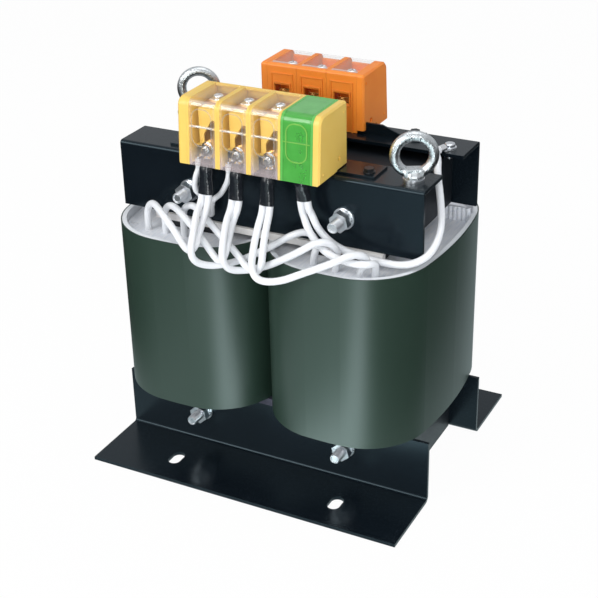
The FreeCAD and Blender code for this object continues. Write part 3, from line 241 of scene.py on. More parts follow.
def relief(wire, height, strength, distance, normal=None):
    """Bump from a height pattern, on the plain surface or on a rounded one."""
    inputs = {"Strength": strength, "Distance": distance, "Height": height}
    if normal:
        inputs["Normal"] = normal
    return wire.add("Bump", None, inputs)


def rounded_edges(wire, radius):
    """Normal that rounds sharp edges to a radius in metres."""
    return wire.add("Bevel", {"samples": 4}, {"Radius": radius})


enamel, wire, place = new_finish("black enamel")
ripple = noise(wire, place, 420, 2)
dust = steps(wire, noise(wire, place, 1400, 4, 0.7), 0.56, 0.8)
cloud = noise(wire, place, 14, 2)
black = tint(wire, cloud, (0.0030, 0.0055, 0.0085), (0.0055, 0.0090, 0.0130))
surface(wire, {
    "Base Color": tint(wire, dust * 0.2, black, (0.04, 0.047, 0.055)),
    "Roughness": 0.19 + dust * 0.2 + cloud * 0.08,
    "Specular IOR Level": 0.34,
    # The reflections are tinted cool blue, a painted reflection colour.
    "Specular Tint": (0.64, 0.88, 1.0),
    "Normal": relief(wire, ripple, 0.05, 0.0004, rounded_edges(wire, 0.0006)),
})
dress(["front_base_angle", "rear_base_angle", "front_top_clamp", "rear_top_clamp"], enamel)
dress(["front_terminal_bracket", "rear_terminal_bracket"], enamel)


# Core: grain-oriented sheet 0.35 mm thick, stacked front to back and varnished almost black, so that the
# cut edges show as fine lines on the yoke ends. The angles and clamps press it together.
varnish, wire, place = new_finish("varnished sheets")
wander = noise(wire, place, 30, 2)
sheets = wire.add("TexWave", {"wave_type": "BANDS", "bands_direction": "Y"}, {
    "Vector": place, "Scale": 900, "Distortion": 0.6, "Detail": 2, "Detail Scale": 1.0,
})
surface(wire, {
    "Base Color": tint(wire, wander * 0.6 + sheets * 0.3, (0.005, 0.007, 0.010), (0.018, 0.022, 0.028)),
    "Roughness": 0.32 + wander * 0.2,
    "Specular IOR Level": 0.4,
    "Normal": relief(wire, sheets, 0.3, 0.0002),
})
dress(["lower_yoke", "upper_yoke", "left_leg", "right_leg"], varnish)


# Coil wraps: dark green varnished pressboard, drawn tight round each winding, with fine upright calender
# lines and a satin gloss. The bright upright sheen down them is a painted reflection of the glowing strip on
# the floor.
wrap_finish, wire, place = new_finish("green wrap")
stretched = wire.add("Mapping", None, {"Vector": place, "Scale": (1.0, 1.0, 0.04)})
lines = noise(wire, stretched, 600, 3, 0.6)
fibre = noise(wire, place, 900, 4, 0.65)
cloud = noise(wire, place, 9, 2)
surface(wire, {
    "Base Color": tint(wire, cloud * 0.6 + fibre * 0.4, (0.015, 0.035, 0.024), (0.023, 0.048, 0.034)),
    "Roughness": 0.33 + lines * 0.06,
    "Specular IOR Level": 0.62,
    "Normal": relief(wire, lines * 0.5 + fibre * 0.5, 0.06, 0.0003),
})
dress(["left_coil_wrap", "right_coil_wrap"], wrap_finish)


# End insulation and formers: white polyester felt, cut to the coil's shape and laid on its ends, with long
# brushed fibres. A corrugated strip of the same felt stands on it along the core.
felt, wire, place = new_finish("white felt")
brushed = wire.add("Mapping", None, {"Vector": place, "Rotation": (0, 0, 0.6), "Scale": (1.0, 0.12, 1.0)})
fibres = noise(wire, brushed, 520, 4, 0.7)
surface(wire, {
    "Base Color": tint(wire, steps(wire, fibres, 0.35, 0.65), (0.76, 0.80, 0.87), (0.92, 0.93, 0.95)),
    "Roughness": 0.75,
    "Normal": relief(wire, fibres, 0.35, 0.0005),
})
dress(["left_end_insulation", "right_end_insulation", "left_coil_former", "right_coil_former"], felt)


# Duct liners and winding barriers: white insulating paper, rolled in layers between the wrap and the
# windings. Only the liner's upper edge shows, inside the wrap.
liner_finish, wire, place = new_finish("white liner")
paper = noise(wire, place, 700, 3, 0.6)
surface(wire, {
    "Base Color": tint(wire, paper, (0.74, 0.77, 0.81), (0.86, 0.88, 0.90)),
    "Roughness": 0.55,
    "Normal": relief(wire, paper, 0.2, 0.0003),
})
dress(["left_duct_liner", "right_duct_liner", "left_winding_barrier", "right_winding_barrier"], liner_finish)


# Insulation strips: pressboard bars that hold the coils between the webs of the base angles and the top
# clamps. The upper ones are bare and cream, and the lower ones are coloured dark bluish as painted shade,
# where they sit low between the coils.
LOWER_STRIPS_TOP = 0.12
strip_finish, wire, place = new_finish("insulation strip")
paper = noise(wire, place, 500, 3, 0.6)
lower = axis(wire, place, "Z") < LOWER_STRIPS_TOP
cream = tint(wire, paper, (0.74, 0.72, 0.70), (0.86, 0.84, 0.82))
surface(wire, {
    # Strips below LOWER_STRIPS_TOP are dark bluish: painted shade.
    "Base Color": tint(wire, lower, cream, (0.045, 0.045, 0.07)),
    "Roughness": 0.5 + paper * 0.1,
})
dress(["insulation_strips"], strip_finish)


# Windings: enamelled copper wire, wound turn by turn round the former in an inner and an outer layer. The
# wrap and the end insulation hide them.
copper, wire, place = new_finish("enamelled wire")
turns = wire.add("TexWave", {"wave_type": "BANDS", "bands_direction": "Z"}, {"Vector": place, "Scale": 130})
surface(wire, {
    "Base Color": tint(wire, turns, (0.10, 0.03, 0.012), (0.45, 0.16, 0.05)),
    "Roughness": 0.3,
    "Coat Weight": 0.4,
    "Normal": relief(wire, turns, 0.8, 0.0008),
})
dress(["left_outer_winding", "right_outer_winding", "left_inner_winding", "right_inner_winding"], copper)


# Through bolts: M10 bolts, washers and nuts of bright zinc plated steel with a cold blue passivation. Each
# runs in a tube of varnished paper from its head at the rear to a nut on a spring washer at the front.
def zinc_finish(name, scratch, low, high, dull=(0.58, 0.62, 0.66), bright=(0.92, 0.93, 0.95), dent=0.0002):
    """Plated metal: cloudy, with fine scratches that spread its gloss between two values."""
    material, wire, place = new_finish(name)
    cloud = noise(wire, place, 160, 3, 0.6)
    mark = noise(wire, place, scratch, 4, 0.7)
    surface(wire, {
        "Base Color": tint(wire, cloud, dull, bright),
        "Metallic": 1.0,
        "Roughness": low + (high - low) * mark,
        "Normal": relief(wire, mark, 0.2, dent, rounded_edges(wire, 0.0004)),
    })
    return material


def new_piece(name, form, finish, slot, nodes=(), crease=35):
    """Piece from a form in millimetres, standing for some CAD nodes."""
    bmesh.ops.recalc_face_normals(form, faces=form.faces)
    bmesh.ops.scale(form, vec=(0.001, 0.001, 0.001), verts=form.verts)
    mesh = bpy.data.meshes.new(name)
    form.to_mesh(mesh)
    form.free()
    mesh.materials.append(finish)
    mesh.shade_smooth()
    mesh.set_sharp_from_angle(angle=math.radians(crease))
    piece = bpy.data.objects.new(name, mesh)
    bpy.context.scene.collection.objects.link(piece)
    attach(piece, "root")
    if nodes:
        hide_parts(*nodes)
    return piece


def skin(form, rings, ends="capped"):
    """Joins rings of points, one to the next. The ends are capped, left open, or joined to each other."""
    rows = [[form.verts.new(point) for point in points] for points in rings]
    pairs = list(zip(rows, rows[1:]))
    if ends == "joined":
        pairs.append((rows[-1], rows[0]))
    for low, high in pairs:
        for i in range(len(low)):
            j = (i + 1) % len(low)
            form.faces.new((low[i], low[j], high[j], high[i]))
    if ends == "capped":
        form.faces.new(reversed(rows[0]))
        form.faces.new(rows[-1])


def ring(middle, first, second, radius, count):
    """Points round a middle, in the plane of two directions. The radius may depend on the angle."""
    points = []
    for step in range(count):
        angle = 2 * math.pi * step / count
        reach = radius(angle) if callable(radius) else radius
        points.append(middle + first * (reach * math.cos(angle)) + second * (reach * math.sin(angle)))
    return points


EAST = Vector((1, 0, 0))
NORTH = Vector((0, 1, 0))
UP = Vector((0, 0, 1))
BOLT_X = 77.0
LOWER_BOLT_Z = 38.0
UPPER_BOLT_Z = 272.0
M10_RADIUS = 4.98
BOLT_SIDES = 48
HEAD_FLATS = 16.0
HEAD_SEAT = 67.7
HEAD_TOP = 74.1
HEAD_CHAMFER = 7.4
HEAD_CHAMFER_SLOPE = 0.6
HEAD_DISH = 4.0
HEAD_OVERLAP = 0.2
THREAD_START = -77.0
THREAD_PITCH = 1.5
THREAD_DEPTH = 0.6
THREAD_CREST = 0.15
THREAD_RINGS = 72
THREAD_STEP = 0.165
BOLT_END = [(-89.2, 4.6), (-89.7, 4.2), (-89.7, 3.6), (-88.9, 3.0)]


def hexagon_reach(angle):
    """Distance from the middle of the bolt's head to its rim."""
    turned = (angle + math.pi / 6) % (math.pi / 3) - math.pi / 6
    return HEAD_FLATS / 2 / math.cos(turned)


def thread_reach(run):
    """Distance to the thread's surface by the angle, at a way along the thread."""
    def reach(angle):
        turn = (run / THREAD_PITCH + angle / (2 * math.pi)) % 1.0
        groove = max(0.0, abs(turn - 0.5) * 2 - THREAD_CREST) / (1 - THREAD_CREST)
        return M10_RADIUS - THREAD_DEPTH * groove
    return reach


def bolt_rings(x, z, profile):
    """Rings along a through bolt, from pairs of a place back and a radius."""
    return [ring(Vector((x, back, z)), EAST, UP, radius, BOLT_SIDES) for back, radius in profile]


head_profile = [
    (HEAD_SEAT, hexagon_reach), (HEAD_TOP, hexagon_reach), (HEAD_TOP, HEAD_CHAMFER), (HEAD_TOP, HEAD_DISH),
]
thread_runs = [step * THREAD_STEP for step in range(1, THREAD_RINGS + 1)]
shank_profile = [(HEAD_SEAT + HEAD_OVERLAP, M10_RADIUS), (THREAD_START, M10_RADIUS)]
shank_profile += [(THREAD_START - run, thread_reach(run)) for run in thread_runs]
shank_profile += BOLT_END
bolts = bmesh.new()
for bolt_x in (-BOLT_X, BOLT_X):
    for bolt_z in (LOWER_BOLT_Z, UPPER_BOLT_Z):
        head = bolt_rings(bolt_x, bolt_z, head_profile)
        for corner in head[1]:
            past_chamfer = math.hypot(corner.x - bolt_x, corner.z - bolt_z) - HEAD_CHAMFER
            corner.y -= past_chamfer * HEAD_CHAMFER_SLOPE
        skin(bolts, head)
        skin(bolts, bolt_rings(bolt_x, bolt_z, shank_profile))
zinc = zinc_finish("zinc plate", 1200, 0.18, 0.42)
new_piece("threaded_core_bolts", bolts, zinc, "zinc", ["core_bolts"])
dress(["core_bolt_washers", "core_bolt_spring_washers", "core_bolt_nuts"], zinc)

tube_finish, wire, place = new_finish("bolt tube")
surface(wire, {
    "Base Color": tint(wire, noise(wire, place, 300), (0.30, 0.17, 0.07), (0.42, 0.25, 0.11)),
    "Roughness": 0.5,
})
dress(["core_bolt_tubes"], tube_finish)


# Lifting eye bolts: M10, drop forged in one piece with an eight-sided collar and a shield below the ring,
# then zinc plated, so the skin keeps small dents and rounded shoulders. Each stands on a washer on a clamp.
EYE_FACING = math.radians(27)
EYE_HEIGHT = 331.4
EYE_MEAN_RADIUS = 16.5
EYE_SECTION_RADIUS = 4.5
HOOP_STEPS = 72
HOOP_SIDES = 24
COLLAR_SIDES = 8
COLLAR = [(8.6, 310.9), (8.7, 313.4), (8.0, 314.8), (7.0, 315.8), (6.0, 316.6), (5.0, 317.2), (4.0, 317.6)]
SHIELD = [(-8.2, 312.5), (8.2, 312.5), (9.2, 317.2), (6.8, 319.7), (-6.8, 319.7), (-9.2, 317.2)]
SHIELD_HALF = 5.3
EYE_SHANK = (297.5, 311.5)
forged = zinc_finish("forged zinc", 330, 0.10, 0.50, (0.40, 0.44, 0.46), (0.84, 0.86, 0.87), 0.0045)
across_eye = Vector((math.cos(EYE_FACING), math.sin(EYE_FACING), 0))
through_eye = Vector((math.sin(EYE_FACING), -math.cos(EYE_FACING), 0))
for eye_name, eye_x, eye_y in (("left_eye_bolt", -123.7, 33.5), ("right_eye_bolt", 132.0, -45.0)):
    eye = bmesh.new()
    hoop = []
    for spoke in ring(Vector((0, 0, 0)), across_eye, UP, 1.0, HOOP_STEPS):
        hub = Vector((eye_x, eye_y, EYE_HEIGHT)) + spoke * EYE_MEAN_RADIUS
        hoop.append(ring(hub, spoke, through_eye, EYE_SECTION_RADIUS, HOOP_SIDES))
    skin(eye, hoop, "joined")
    skin(eye, [ring(Vector((eye_x, eye_y, z)), EAST, NORTH, radius, COLLAR_SIDES) for radius, z in COLLAR])
    shield_middle = [Vector((eye_x, eye_y, z)) + across_eye * aside for aside, z in SHIELD]
    sides = (-SHIELD_HALF, SHIELD_HALF)
    skin(eye, [[point + through_eye * side for point in shield_middle] for side in sides])
    skin(eye, [ring(Vector((eye_x, eye_y, z)), EAST, NORTH, M10_RADIUS, HOOP_SIDES) for z in EYE_SHANK])
    forging = new_piece(eye_name + "_forging", eye, forged, "forged_zinc", [eye_name], 60)
    blended = forging.modifiers.new("one skin", "REMESH")
    blended.mode = "VOXEL"
    blended.voxel_size = 0.0005
    blended.use_smooth_shade = True
    softened = forging.modifiers.new("soft shoulders", "SMOOTH")
    softened.factor = 0.5
    softened.iterations = 5
dress(["eye_bolt_washers", "eye_bolt_nuts"], zinc)


# Bracket screws: short steel hexagon screws with a flange, black zinc plated and tapped through the
# brackets' feet into the top clamps.
black_zinc, wire, place = new_finish("black zinc")
mark = noise(wire, place, 900, 3)
surface(wire, {
    "Base Color": tint(wire, mark, (0.02, 0.022, 0.025), (0.07, 0.075, 0.08)),
    "Metallic": 0.8,
    "Roughness": 0.28 + mark * 0.2,
    "Normal": rounded_edges(wire, 0.0004),
})
dress(["bracket_screws"], black_zinc)


# Terminal blocks: poles moulded in polyamide, yellow for the wires, green for earth and orange at the rear,
# clipped between end plates onto the rails. The moulding has a fine spark-eroded grain and rounded edges.
def moulded(name, dark, light, roughness):
    """Coloured polyamide, a little translucent."""
    material, wire, place = new_finish(name)
    grain = noise(wire, place, 2200, 3, 0.6)
    flow = noise(wire, place, 40, 2)
    surface(wire, {
        "Base Color": tint(wire, flow, dark, light),
        "Roughness": roughness + grain * 0.12,
        "Subsurface Weight": 0.12,
        "Subsurface Radius": (0.002, 0.0012, 0.0006),
        "Subsurface Scale": 1.0,
        "Normal": relief(wire, grain, 0.12, 0.0002, rounded_edges(wire, 0.0007)),
    })
    return material


yellow = moulded("yellow moulding", (0.84, 0.54, 0.10), (0.90, 0.63, 0.16), 0.32)
green = moulded("green moulding", (0.09, 0.42, 0.07), (0.13, 0.50, 0.10), 0.32)
orange = moulded("orange moulding", (0.90, 0.23, 0.02), (0.98, 0.30, 0.035), 0.36)
dress(["front_pole_housings", "front_end_plates"], yellow)
dress(["earth_pole_housing"], green)
dress(["rear_pole_housings", "rear_end_plates"], orange)

# A pole is its place along the block, the side that it faces and how far it stands below the front ones.
POLE_PITCH = 30.5
REAR_DROP = 3.2
FIRST_FRONT_POLE = -46.55
FIRST_REAR_POLE = -35.3
front_poles = [(FIRST_FRONT_POLE + POLE_PITCH * step, -1, 0.0) for step in range(4)]
wire_poles = front_poles[:3]
earth_pole = front_poles[3]
rear_poles = [(FIRST_REAR_POLE + POLE_PITCH * step, 1, REAR_DROP) for step in range(3)]


def at_pole(pole, across, out, z):
    """Point in a pole, from its way across, out from the transformer's middle, and up."""
    pole_x, side, drop = pole
    return Vector((pole_x - side * across, side * out, z - drop))


def add_across(form, pole, outline, half):
    """Solid that runs across a pole, from an outline of (out, z) points."""
    skin(form, [[at_pole(pole, across, out, z) for out, z in outline] for across in (-half, half)])


def add_outwards(form, pole, outline, near, far):
    """Solid that runs outwards in a pole, from an outline of (across, z) points."""
    skin(form, [[at_pole(pole, across, out, z) for across, z in outline] for out in (near, far)])


# Behind its cover each pole has a moulded core with a sloped edge, above the upright of the bar.
FRONT_CORE_TOP = 357.4
REAR_CORE_TOP = 364.6
CORE_NEAR = 77.35
CORE_FAR = 80.2
for colour, finish, poles, top in (
    ("yellow", yellow, wire_poles, FRONT_CORE_TOP),
    ("green", green, [earth_pole], FRONT_CORE_TOP),
    ("orange", orange, rear_poles, REAR_CORE_TOP),
):
    cores = bmesh.new()
    outline = [(-8.5, 325), (-3.8, 325), (-3.8, 334.5), (4.3, 347.4), (8.5, 347.4), (8.5, top), (-8.5, top)]
    for pole in poles:
        add_outwards(cores, pole, outline, CORE_NEAR, CORE_FAR)
    new_piece(colour + "_pole_cores", cores, finish, colour + "_moulding")

# Each rear pole has a narrow raised border on the wall that faces the middle, and another round its window.
BORDER_LINE = 1.2
BORDER_NEAR = 36.35
BORDER_FAR = 37.05
OUTER_BORDER = (11.5, 309.7, 359.4, False)
WINDOW_BORDER = (9.0, 336.3, 350.6, True)


def add_border(form, pole, half, low, high, has_foot):
    """Raised border on a rear pole's inner wall, with or without its lower bar."""
    rise = low + BORDER_LINE if has_foot else low
    fall = high - BORDER_LINE
    boxes = [(-half, BORDER_LINE - half, rise, fall), (half - BORDER_LINE, half, rise, fall)]
    boxes.append((-half, half, fall, high))
    if has_foot:
        boxes.append((-half, half, low, rise))
    for left, right, foot, top in boxes:
        outline = [(left, foot), (right, foot), (right, top), (left, top)]
        add_outwards(form, pole, outline, BORDER_NEAR, BORDER_FAR)


borders = bmesh.new()
for pole in rear_poles:
    add_border(borders, pole, *OUTER_BORDER)
    add_border(borders, pole, *WINDOW_BORDER)
new_piece("rear_pole_borders", borders, orange, "orange_moulding")


# Metal of the poles: tinned screws, studs, nuts and lugs, and a bar tarnished brown that lies level below
# the clamping screw and turns down to the stud. Behind each rear window is a small clip with its screw.
tin = zinc_finish("tin plate", 900, 0.10, 0.26, (0.72, 0.74, 0.77), (0.96, 0.96, 0.97))
dress(["terminal_screws", "terminal_bolts", "terminal_nuts", "lead_lugs"], tin)
tarnished = zinc_finish("tarnished bar", 700, 0.22, 0.42, (0.36, 0.17, 0.05), (0.66, 0.38, 0.13))
LEVEL_BAR = [(43, 357.5), (43, 359.5), (69, 359.5), (69, 357.5)]
LEVEL_BAR_HALF = 8.5
UPRIGHT_BAR = [(-3.5, 311.7), (8.5, 311.7), (8.5, 346), (4.5, 346), (-3.5, 333)]
UPRIGHT_NEAR = 77.5
UPRIGHT_FAR = 79.5
CLIP = [(41.6, 334), (41.6, 343), (42.8, 343), (42.8, 334)]
CLIP_HALF = 5.5
CLIP_SCREW_HEIGHT = 340.0
CLIP_SCREW = [(41.8, 2.6), (40.6, 2.6), (40.0, 1.8)]
CLIP_SCREW_ASIDE = 1.0
CLIP_SCREW_SIDES = 20
bars = bmesh.new()
for pole in front_poles + rear_poles:
    add_across(bars, pole, LEVEL_BAR, LEVEL_BAR_HALF)
    add_outwards(bars, pole, UPRIGHT_BAR, UPRIGHT_NEAR, UPRIGHT_FAR)
for pole in rear_poles:
    add_across(bars, pole, CLIP, CLIP_HALF)
    rings = []
    for out, radius in CLIP_SCREW:
        middle = at_pole(pole, CLIP_SCREW_ASIDE, out, CLIP_SCREW_HEIGHT)
        rings.append(ring(middle, EAST, UP, radius, CLIP_SCREW_SIDES))
    skin(bars, rings)
new_piece("pole_bars", bars, tarnished, "tinned_bar", ["terminal_bars"])


# Covers: clear polycarbonate, bent over the top and the wiring side of each pole and snapped between its
# walls, with a raised arch and a crease. The earth pole's is green. The foot of each is level with them.
COVER_FOOT = [(90.5, 308.8), (91.9, 308.8), (91.7, 311.75), (90.3, 311.75)]
COVER_FOOT_HALF = 12.7
# The places that the covers' masks use are in metres.
FACE_OUT = 0.0923
FACE_FOOT = 0.3087
FACE_LEAN = 0.068
FACE_TOP = 0.3625
CELL_PITCH = 0.0305
FIRST_CELL_EDGE = -0.0618
REAR_CELL_SHIFT = 0.01125
SEAM_HEIGHT = 0.3436
SEAM_HALF = 0.0009


def raised_line(wire, depth, height):
    """Mask of the raised arch and crease on the leaning face of a cover, where a painted highlight goes."""
    proud = wire.sum("ABSOLUTE", depth) - (FACE_OUT - (height - FACE_FOOT) * FACE_LEAN)
    return (proud > 0) * (height < FACE_TOP)


clear, wire, place = new_finish("clear cover")
along, depth, height = [axis(wire, place, letter) for letter in "XYZ"]
at_front = depth < 0
# Painted highlights: a white band along each front cover's rounded top edge, and along the rear covers'
# inner edge.
outer_rim = steps(wire, 0 - depth, 0.0835, 0.0865) * steps(wire, height, 0.3615, 0.3650)
inner_rim = (depth > 0.030) * (depth < 0.046)
rim = wire.sum("ADD", outer_rim, inner_rim, clamp=True)
# Painted glow: bright warm bands at the sides of each front cell, where the yellow walls show through the
# bent cover.
from_edge = along - FIRST_CELL_EDGE - (depth > 0) * REAR_CELL_SHIFT
off_middle = wire.sum("ABSOLUTE", wire.sum("FLOORED_MODULO", from_edge, CELL_PITCH) - CELL_PITCH / 2)
fold = steps(wire, off_middle, 0.0098, 0.0126) * (height < 0.3640) * at_front
# Cloudier and mauve-grey towards the bottom of each cover.
mauve_lower_band = steps(wire, height, 0.3290, 0.3130)
# Painted highlight: a white line along the crease of each front cover.
seam = (wire.sum("ABSOLUTE", height - SEAM_HEIGHT) < SEAM_HALF) * at_front
haze = noise(wire, place, 90, 2)
tilt = wire.add("LayerWeight", None, {"Blend": 0.5}, "Facing")
glance = tilt ** 4 * 0.42 + 0.01
# The painted highlights and the mauve lower band make the cover more opaque and less metallic there.
painted_highlights_and_lower_band = rim * 0.30 + fold * 0.22 + mauve_lower_band * 0.24 + seam * 0.42
diffuse_highlights_and_lower_band = wire.sum("ADD", rim * 0.5 + fold * 0.5, mauve_lower_band * 0.5, clamp=True)
# Gloss at glancing angles, with a painted highlight on the raised arch.
gloss_and_arch_highlight = glance + haze * 0.02 + raised_line(wire, depth, height) * 0.36
lets_light_in = 1 - wire.add("LightPath", output="Is Shadow Ray") * 0.85
# Colour of the painted highlights: near white, warm yellow-orange in the painted glow at the cell sides.
edge_colour = tint(wire, fold, (0.98, 0.95, 0.91), (1.0, 0.72, 0.30))
surface(wire, {
    "Base Color": tint(wire, mauve_lower_band, edge_colour, (0.66, 0.57, 0.58)),
    "Metallic": 0.6 - diffuse_highlights_and_lower_band * 1.1,
    "Roughness": 0.06 + haze * 0.06,
    "Alpha": wire.sum("ADD", gloss_and_arch_highlight, painted_highlights_and_lower_band, clamp=True) * lets_light_in,
    "Normal": relief(wire, haze, 0.06, 0.0006),
})
dress(["clear_covers"], clear)

green_clear, wire, place = new_finish("green cover")
haze = noise(wire, place, 90, 2)
line = raised_line(wire, axis(wire, place, "Y"), axis(wire, place, "Z"))
tilt = wire.add("LayerWeight", None, {"Blend": 0.5}, "Facing")
leaf_green = tint(wire, haze, (0.07, 0.42, 0.06), (0.12, 0.54, 0.10))
surface(wire, {
    # The raised arch is tinted light green, a painted highlight.
    "Base Color": tint(wire, line * 0.5, leaf_green, (0.45, 0.78, 0.16)),
    "Roughness": 0.1 + haze * 0.05,
    "Alpha": wire.sum("ADD", tilt ** 4 + haze * 0.1, 0.62, clamp=True),
    "Coat Weight": 0.6,
})
dress(["earth_pole_cover"], green_clear)

for name, poles, finish, slot in (
    ("clear_cover_feet", wire_poles, clear, "clear_cover"),
    ("rear_cover_feet", rear_poles, clear, "clear_cover"),
    ("green_cover_foot", [earth_pole], green_clear, "green_cover"),
):
    feet = bmesh.new()
    for pole in poles:
        add_across(feet, pole, COVER_FOOT, COVER_FOOT_HALF)
    new_piece(name, feet, finish, slot)


# Shrink sleeves: black, thin walled and shiny, slid over the barrel of each front lug with the leads below
# it and shrunk with heat, so that each follows the barrel's shoulder and has an oval mouth round two leads.
SLEEVE_SIDES = 40
SLEEVE_UNEVEN = 0.02
SLEEVE_TOP_OUT = -83.0
SLEEVE_TOP = 313.3
WIRE_SLEEVE_LENGTH = 31.95
EARTH_SLEEVE_LENGTH = 23.45
# Share of the length, half the width and half the depth. The last rings turn back into the mouth.
SLEEVE_PROFILE = [
    (0.0, 5.0, 5.0), (0.0, 5.4, 5.4), (0.1, 5.4, 5.4), (0.2, 5.9, 5.8), (0.3, 6.6, 6.4), (0.38, 6.7, 6.4),
    (0.48, 6.2, 5.9), (0.6, 6.3, 5.3), (0.75, 6.8, 4.7), (0.9, 7.0, 4.4), (0.985, 7.1, 4.4), (1.0, 6.9, 4.2),
    (0.99, 6.6, 3.9), (0.93, 6.4, 3.7),
]
shrink, wire, place = new_finish("shrink sleeve")
fold = noise(wire, place, 260, 3)
surface(wire, {
    "Base Color": tint(wire, fold, (0.006, 0.008, 0.011), (0.014, 0.017, 0.022)),
    "Roughness": 0.14 + fold * 0.1,
    "Normal": relief(wire, fold, 0.4, 0.0008),
})
sleeve_runs = [(pole[0], 0, 12, WIRE_SLEEVE_LENGTH) for pole in wire_poles]
sleeve_runs.append((earth_pole[0], 6, 0, EARTH_SLEEVE_LENGTH))
sleeves = bmesh.new()
for sleeve_x, lean_east, lean_out, length in sleeve_runs:
    sleeve_top = Vector((sleeve_x, SLEEVE_TOP_OUT, SLEEVE_TOP))
    ahead = Vector((math.sin(math.radians(lean_east)), -math.sin(math.radians(lean_out)), 0))
    ahead.z = -math.sqrt(1 - ahead.x ** 2 - ahead.y ** 2)
    beside = EAST.cross(ahead).cross(ahead).normalized()
    fore = ahead.cross(beside)
    rings = []
    for share, wide, deep in SLEEVE_PROFILE:
        uneven = 1 + SLEEVE_UNEVEN * math.sin(sleeve_x + share * 17)
        middle = sleeve_top + ahead * (length * share)
        rings.append(ring(middle, beside * (wide * uneven), fore * (deep * uneven), 1.0, SLEEVE_SIDES))
    skin(sleeves, rings)
sleeves = new_piece("shrunk_sleeves", sleeves, shrink, "sleeve", ["lead_sleeves"], 80)
rounder = sleeves.modifiers.new("rounder", "SUBSURF")
rounder.levels = 1
rounder.render_levels = 1


# Leads: white silicone rubber over stranded copper, 6.4 mm across. Each coil sends three up to the front
# block in loose S bends. Two more go from the earth pole, to the right coil and to the rear clamp's screw.
silicone, wire, place = new_finish("white silicone")
bloom = noise(wire, place, 120, 3)
fine = noise(wire, place, 1500, 3)
surface(wire, {
    "Base Color": tint(wire, bloom, (0.79, 0.81, 0.84), (0.85, 0.86, 0.88)),
    "Roughness": 0.34 + bloom * 0.12,
    "Subsurface Weight": 0.15,
    "Subsurface Radius": (0.002, 0.002, 0.002),
    "Subsurface Scale": 1.0,
    "Normal": relief(wire, fine, 0.08, 0.0002),
})


def lay_lead(name, points, diameter):
    """Round lead along one smooth line through its control points, in metres."""
    data = bpy.data.curves.new(name, "CURVE")
    data.dimensions = "3D"
    line = data.splines.new("NURBS")
    line.points.add(len(points) - 1)
    for control, point in zip(line.points, points):
        control.co = (*point, 1)
    line.order_u = 3
    line.use_endpoint_u = True
    data.resolution_u = 10
    data.bevel_depth = diameter / 2
    data.bevel_resolution = 5
    data.use_fill_caps = True
    data.materials.append(silicone)
    run = bpy.data.objects.new(name + "_run", data)
    bpy.context.scene.collection.objects.link(run)
    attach(run, "root")
    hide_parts(name)


LEAD = 0.0064
lay_lead("right_lead_1", [
    (-0.0498, -0.0896, 0.2822), (-0.0498, -0.0911, 0.2754), (-0.0486, -0.1025, 0.2694),
    (-0.0424, -0.1202, 0.2568), (-0.0411, -0.1290, 0.2437), (-0.0389, -0.1249, 0.2318),
    (-0.0279, -0.1137, 0.2257), (-0.0068, -0.1021, 0.2302), (0.0168, -0.0916, 0.2434),
    (0.0365, -0.0822, 0.2566), (0.0497, -0.0775, 0.2593), (0.0574, -0.0780, 0.2492),
    (0.0550, -0.0820, 0.2376), (0.0550, -0.0820, 0.2306),
], LEAD)
lay_lead("left_lead_1", [
    (-0.0432, -0.0896, 0.2822), (-0.0432, -0.0911, 0.2754), (-0.0436, -0.0968, 0.2659),
    (-0.0423, -0.1100, 0.2548), (-0.0409, -0.1192, 0.2459), (-0.0463, -0.1196, 0.2390),
    (-0.0548, -0.1163, 0.2399), (-0.0677, -0.1100, 0.2507), (-0.0886, -0.0979, 0.2600),
    (-0.1062, -0.0839, 0.2619), (-0.1176, -0.0771, 0.2520), (-0.1170, -0.0790, 0.2376),
    (-0.1170, -0.0790, 0.2306),
], LEAD)
lay_lead("right_lead_2", [
    (-0.0194, -0.0896, 0.2822), (-0.0194, -0.0911, 0.2754), (-0.0186, -0.1027, 0.2668),
    (-0.0141, -0.1179, 0.2532), (-0.0117, -0.1253, 0.2408), (-0.0085, -0.1198, 0.2288),
    (0.0023, -0.1082, 0.2254), (0.0229, -0.1067, 0.2334), (0.0419, -0.1113, 0.2459),
    (0.0568, -0.1103, 0.2555), (0.0681, -0.1035, 0.2631), (0.0775, -0.0950, 0.2618),
    (0.0823, -0.0890, 0.2504), (0.0780, -0.0860, 0.2376), (0.0780, -0.0860, 0.2306),
], LEAD)
lay_lead("left_lead_2", [
    (-0.0128, -0.0896, 0.2822), (-0.0128, -0.0911, 0.2754), (-0.0165, -0.0956, 0.2633),
    (-0.0141, -0.1094, 0.2497), (-0.0132, -0.1173, 0.2401), (-0.0184, -0.1168, 0.2334),
    (-0.0266, -0.1126, 0.2348), (-0.0399, -0.1078, 0.2459), (-0.0636, -0.0946, 0.2555),
    (-0.0878, -0.0808, 0.2621), (-0.1004, -0.0758, 0.2525), (-0.0980, -0.0790, 0.2376),
    (-0.0980, -0.0790, 0.2306),
], LEAD)
lay_lead("right_lead_3", [
    (0.0111, -0.0896, 0.2822), (0.0111, -0.0911, 0.2754), (0.0103, -0.0992, 0.2643),
    (0.0127, -0.1130, 0.2493), (0.0173, -0.1258, 0.2367), (0.0265, -0.1294, 0.2295),
    (0.0443, -0.1251, 0.2309), (0.0638, -0.1191, 0.2403), (0.0790, -0.1172, 0.2478),
    (0.0913, -0.1138, 0.2540), (0.1015, -0.1057, 0.2590), (0.1098, -0.0961, 0.2566),
    (0.1104, -0.0903, 0.2474), (0.1030, -0.0920, 0.2376), (0.1030, -0.0920, 0.2306),
], LEAD)
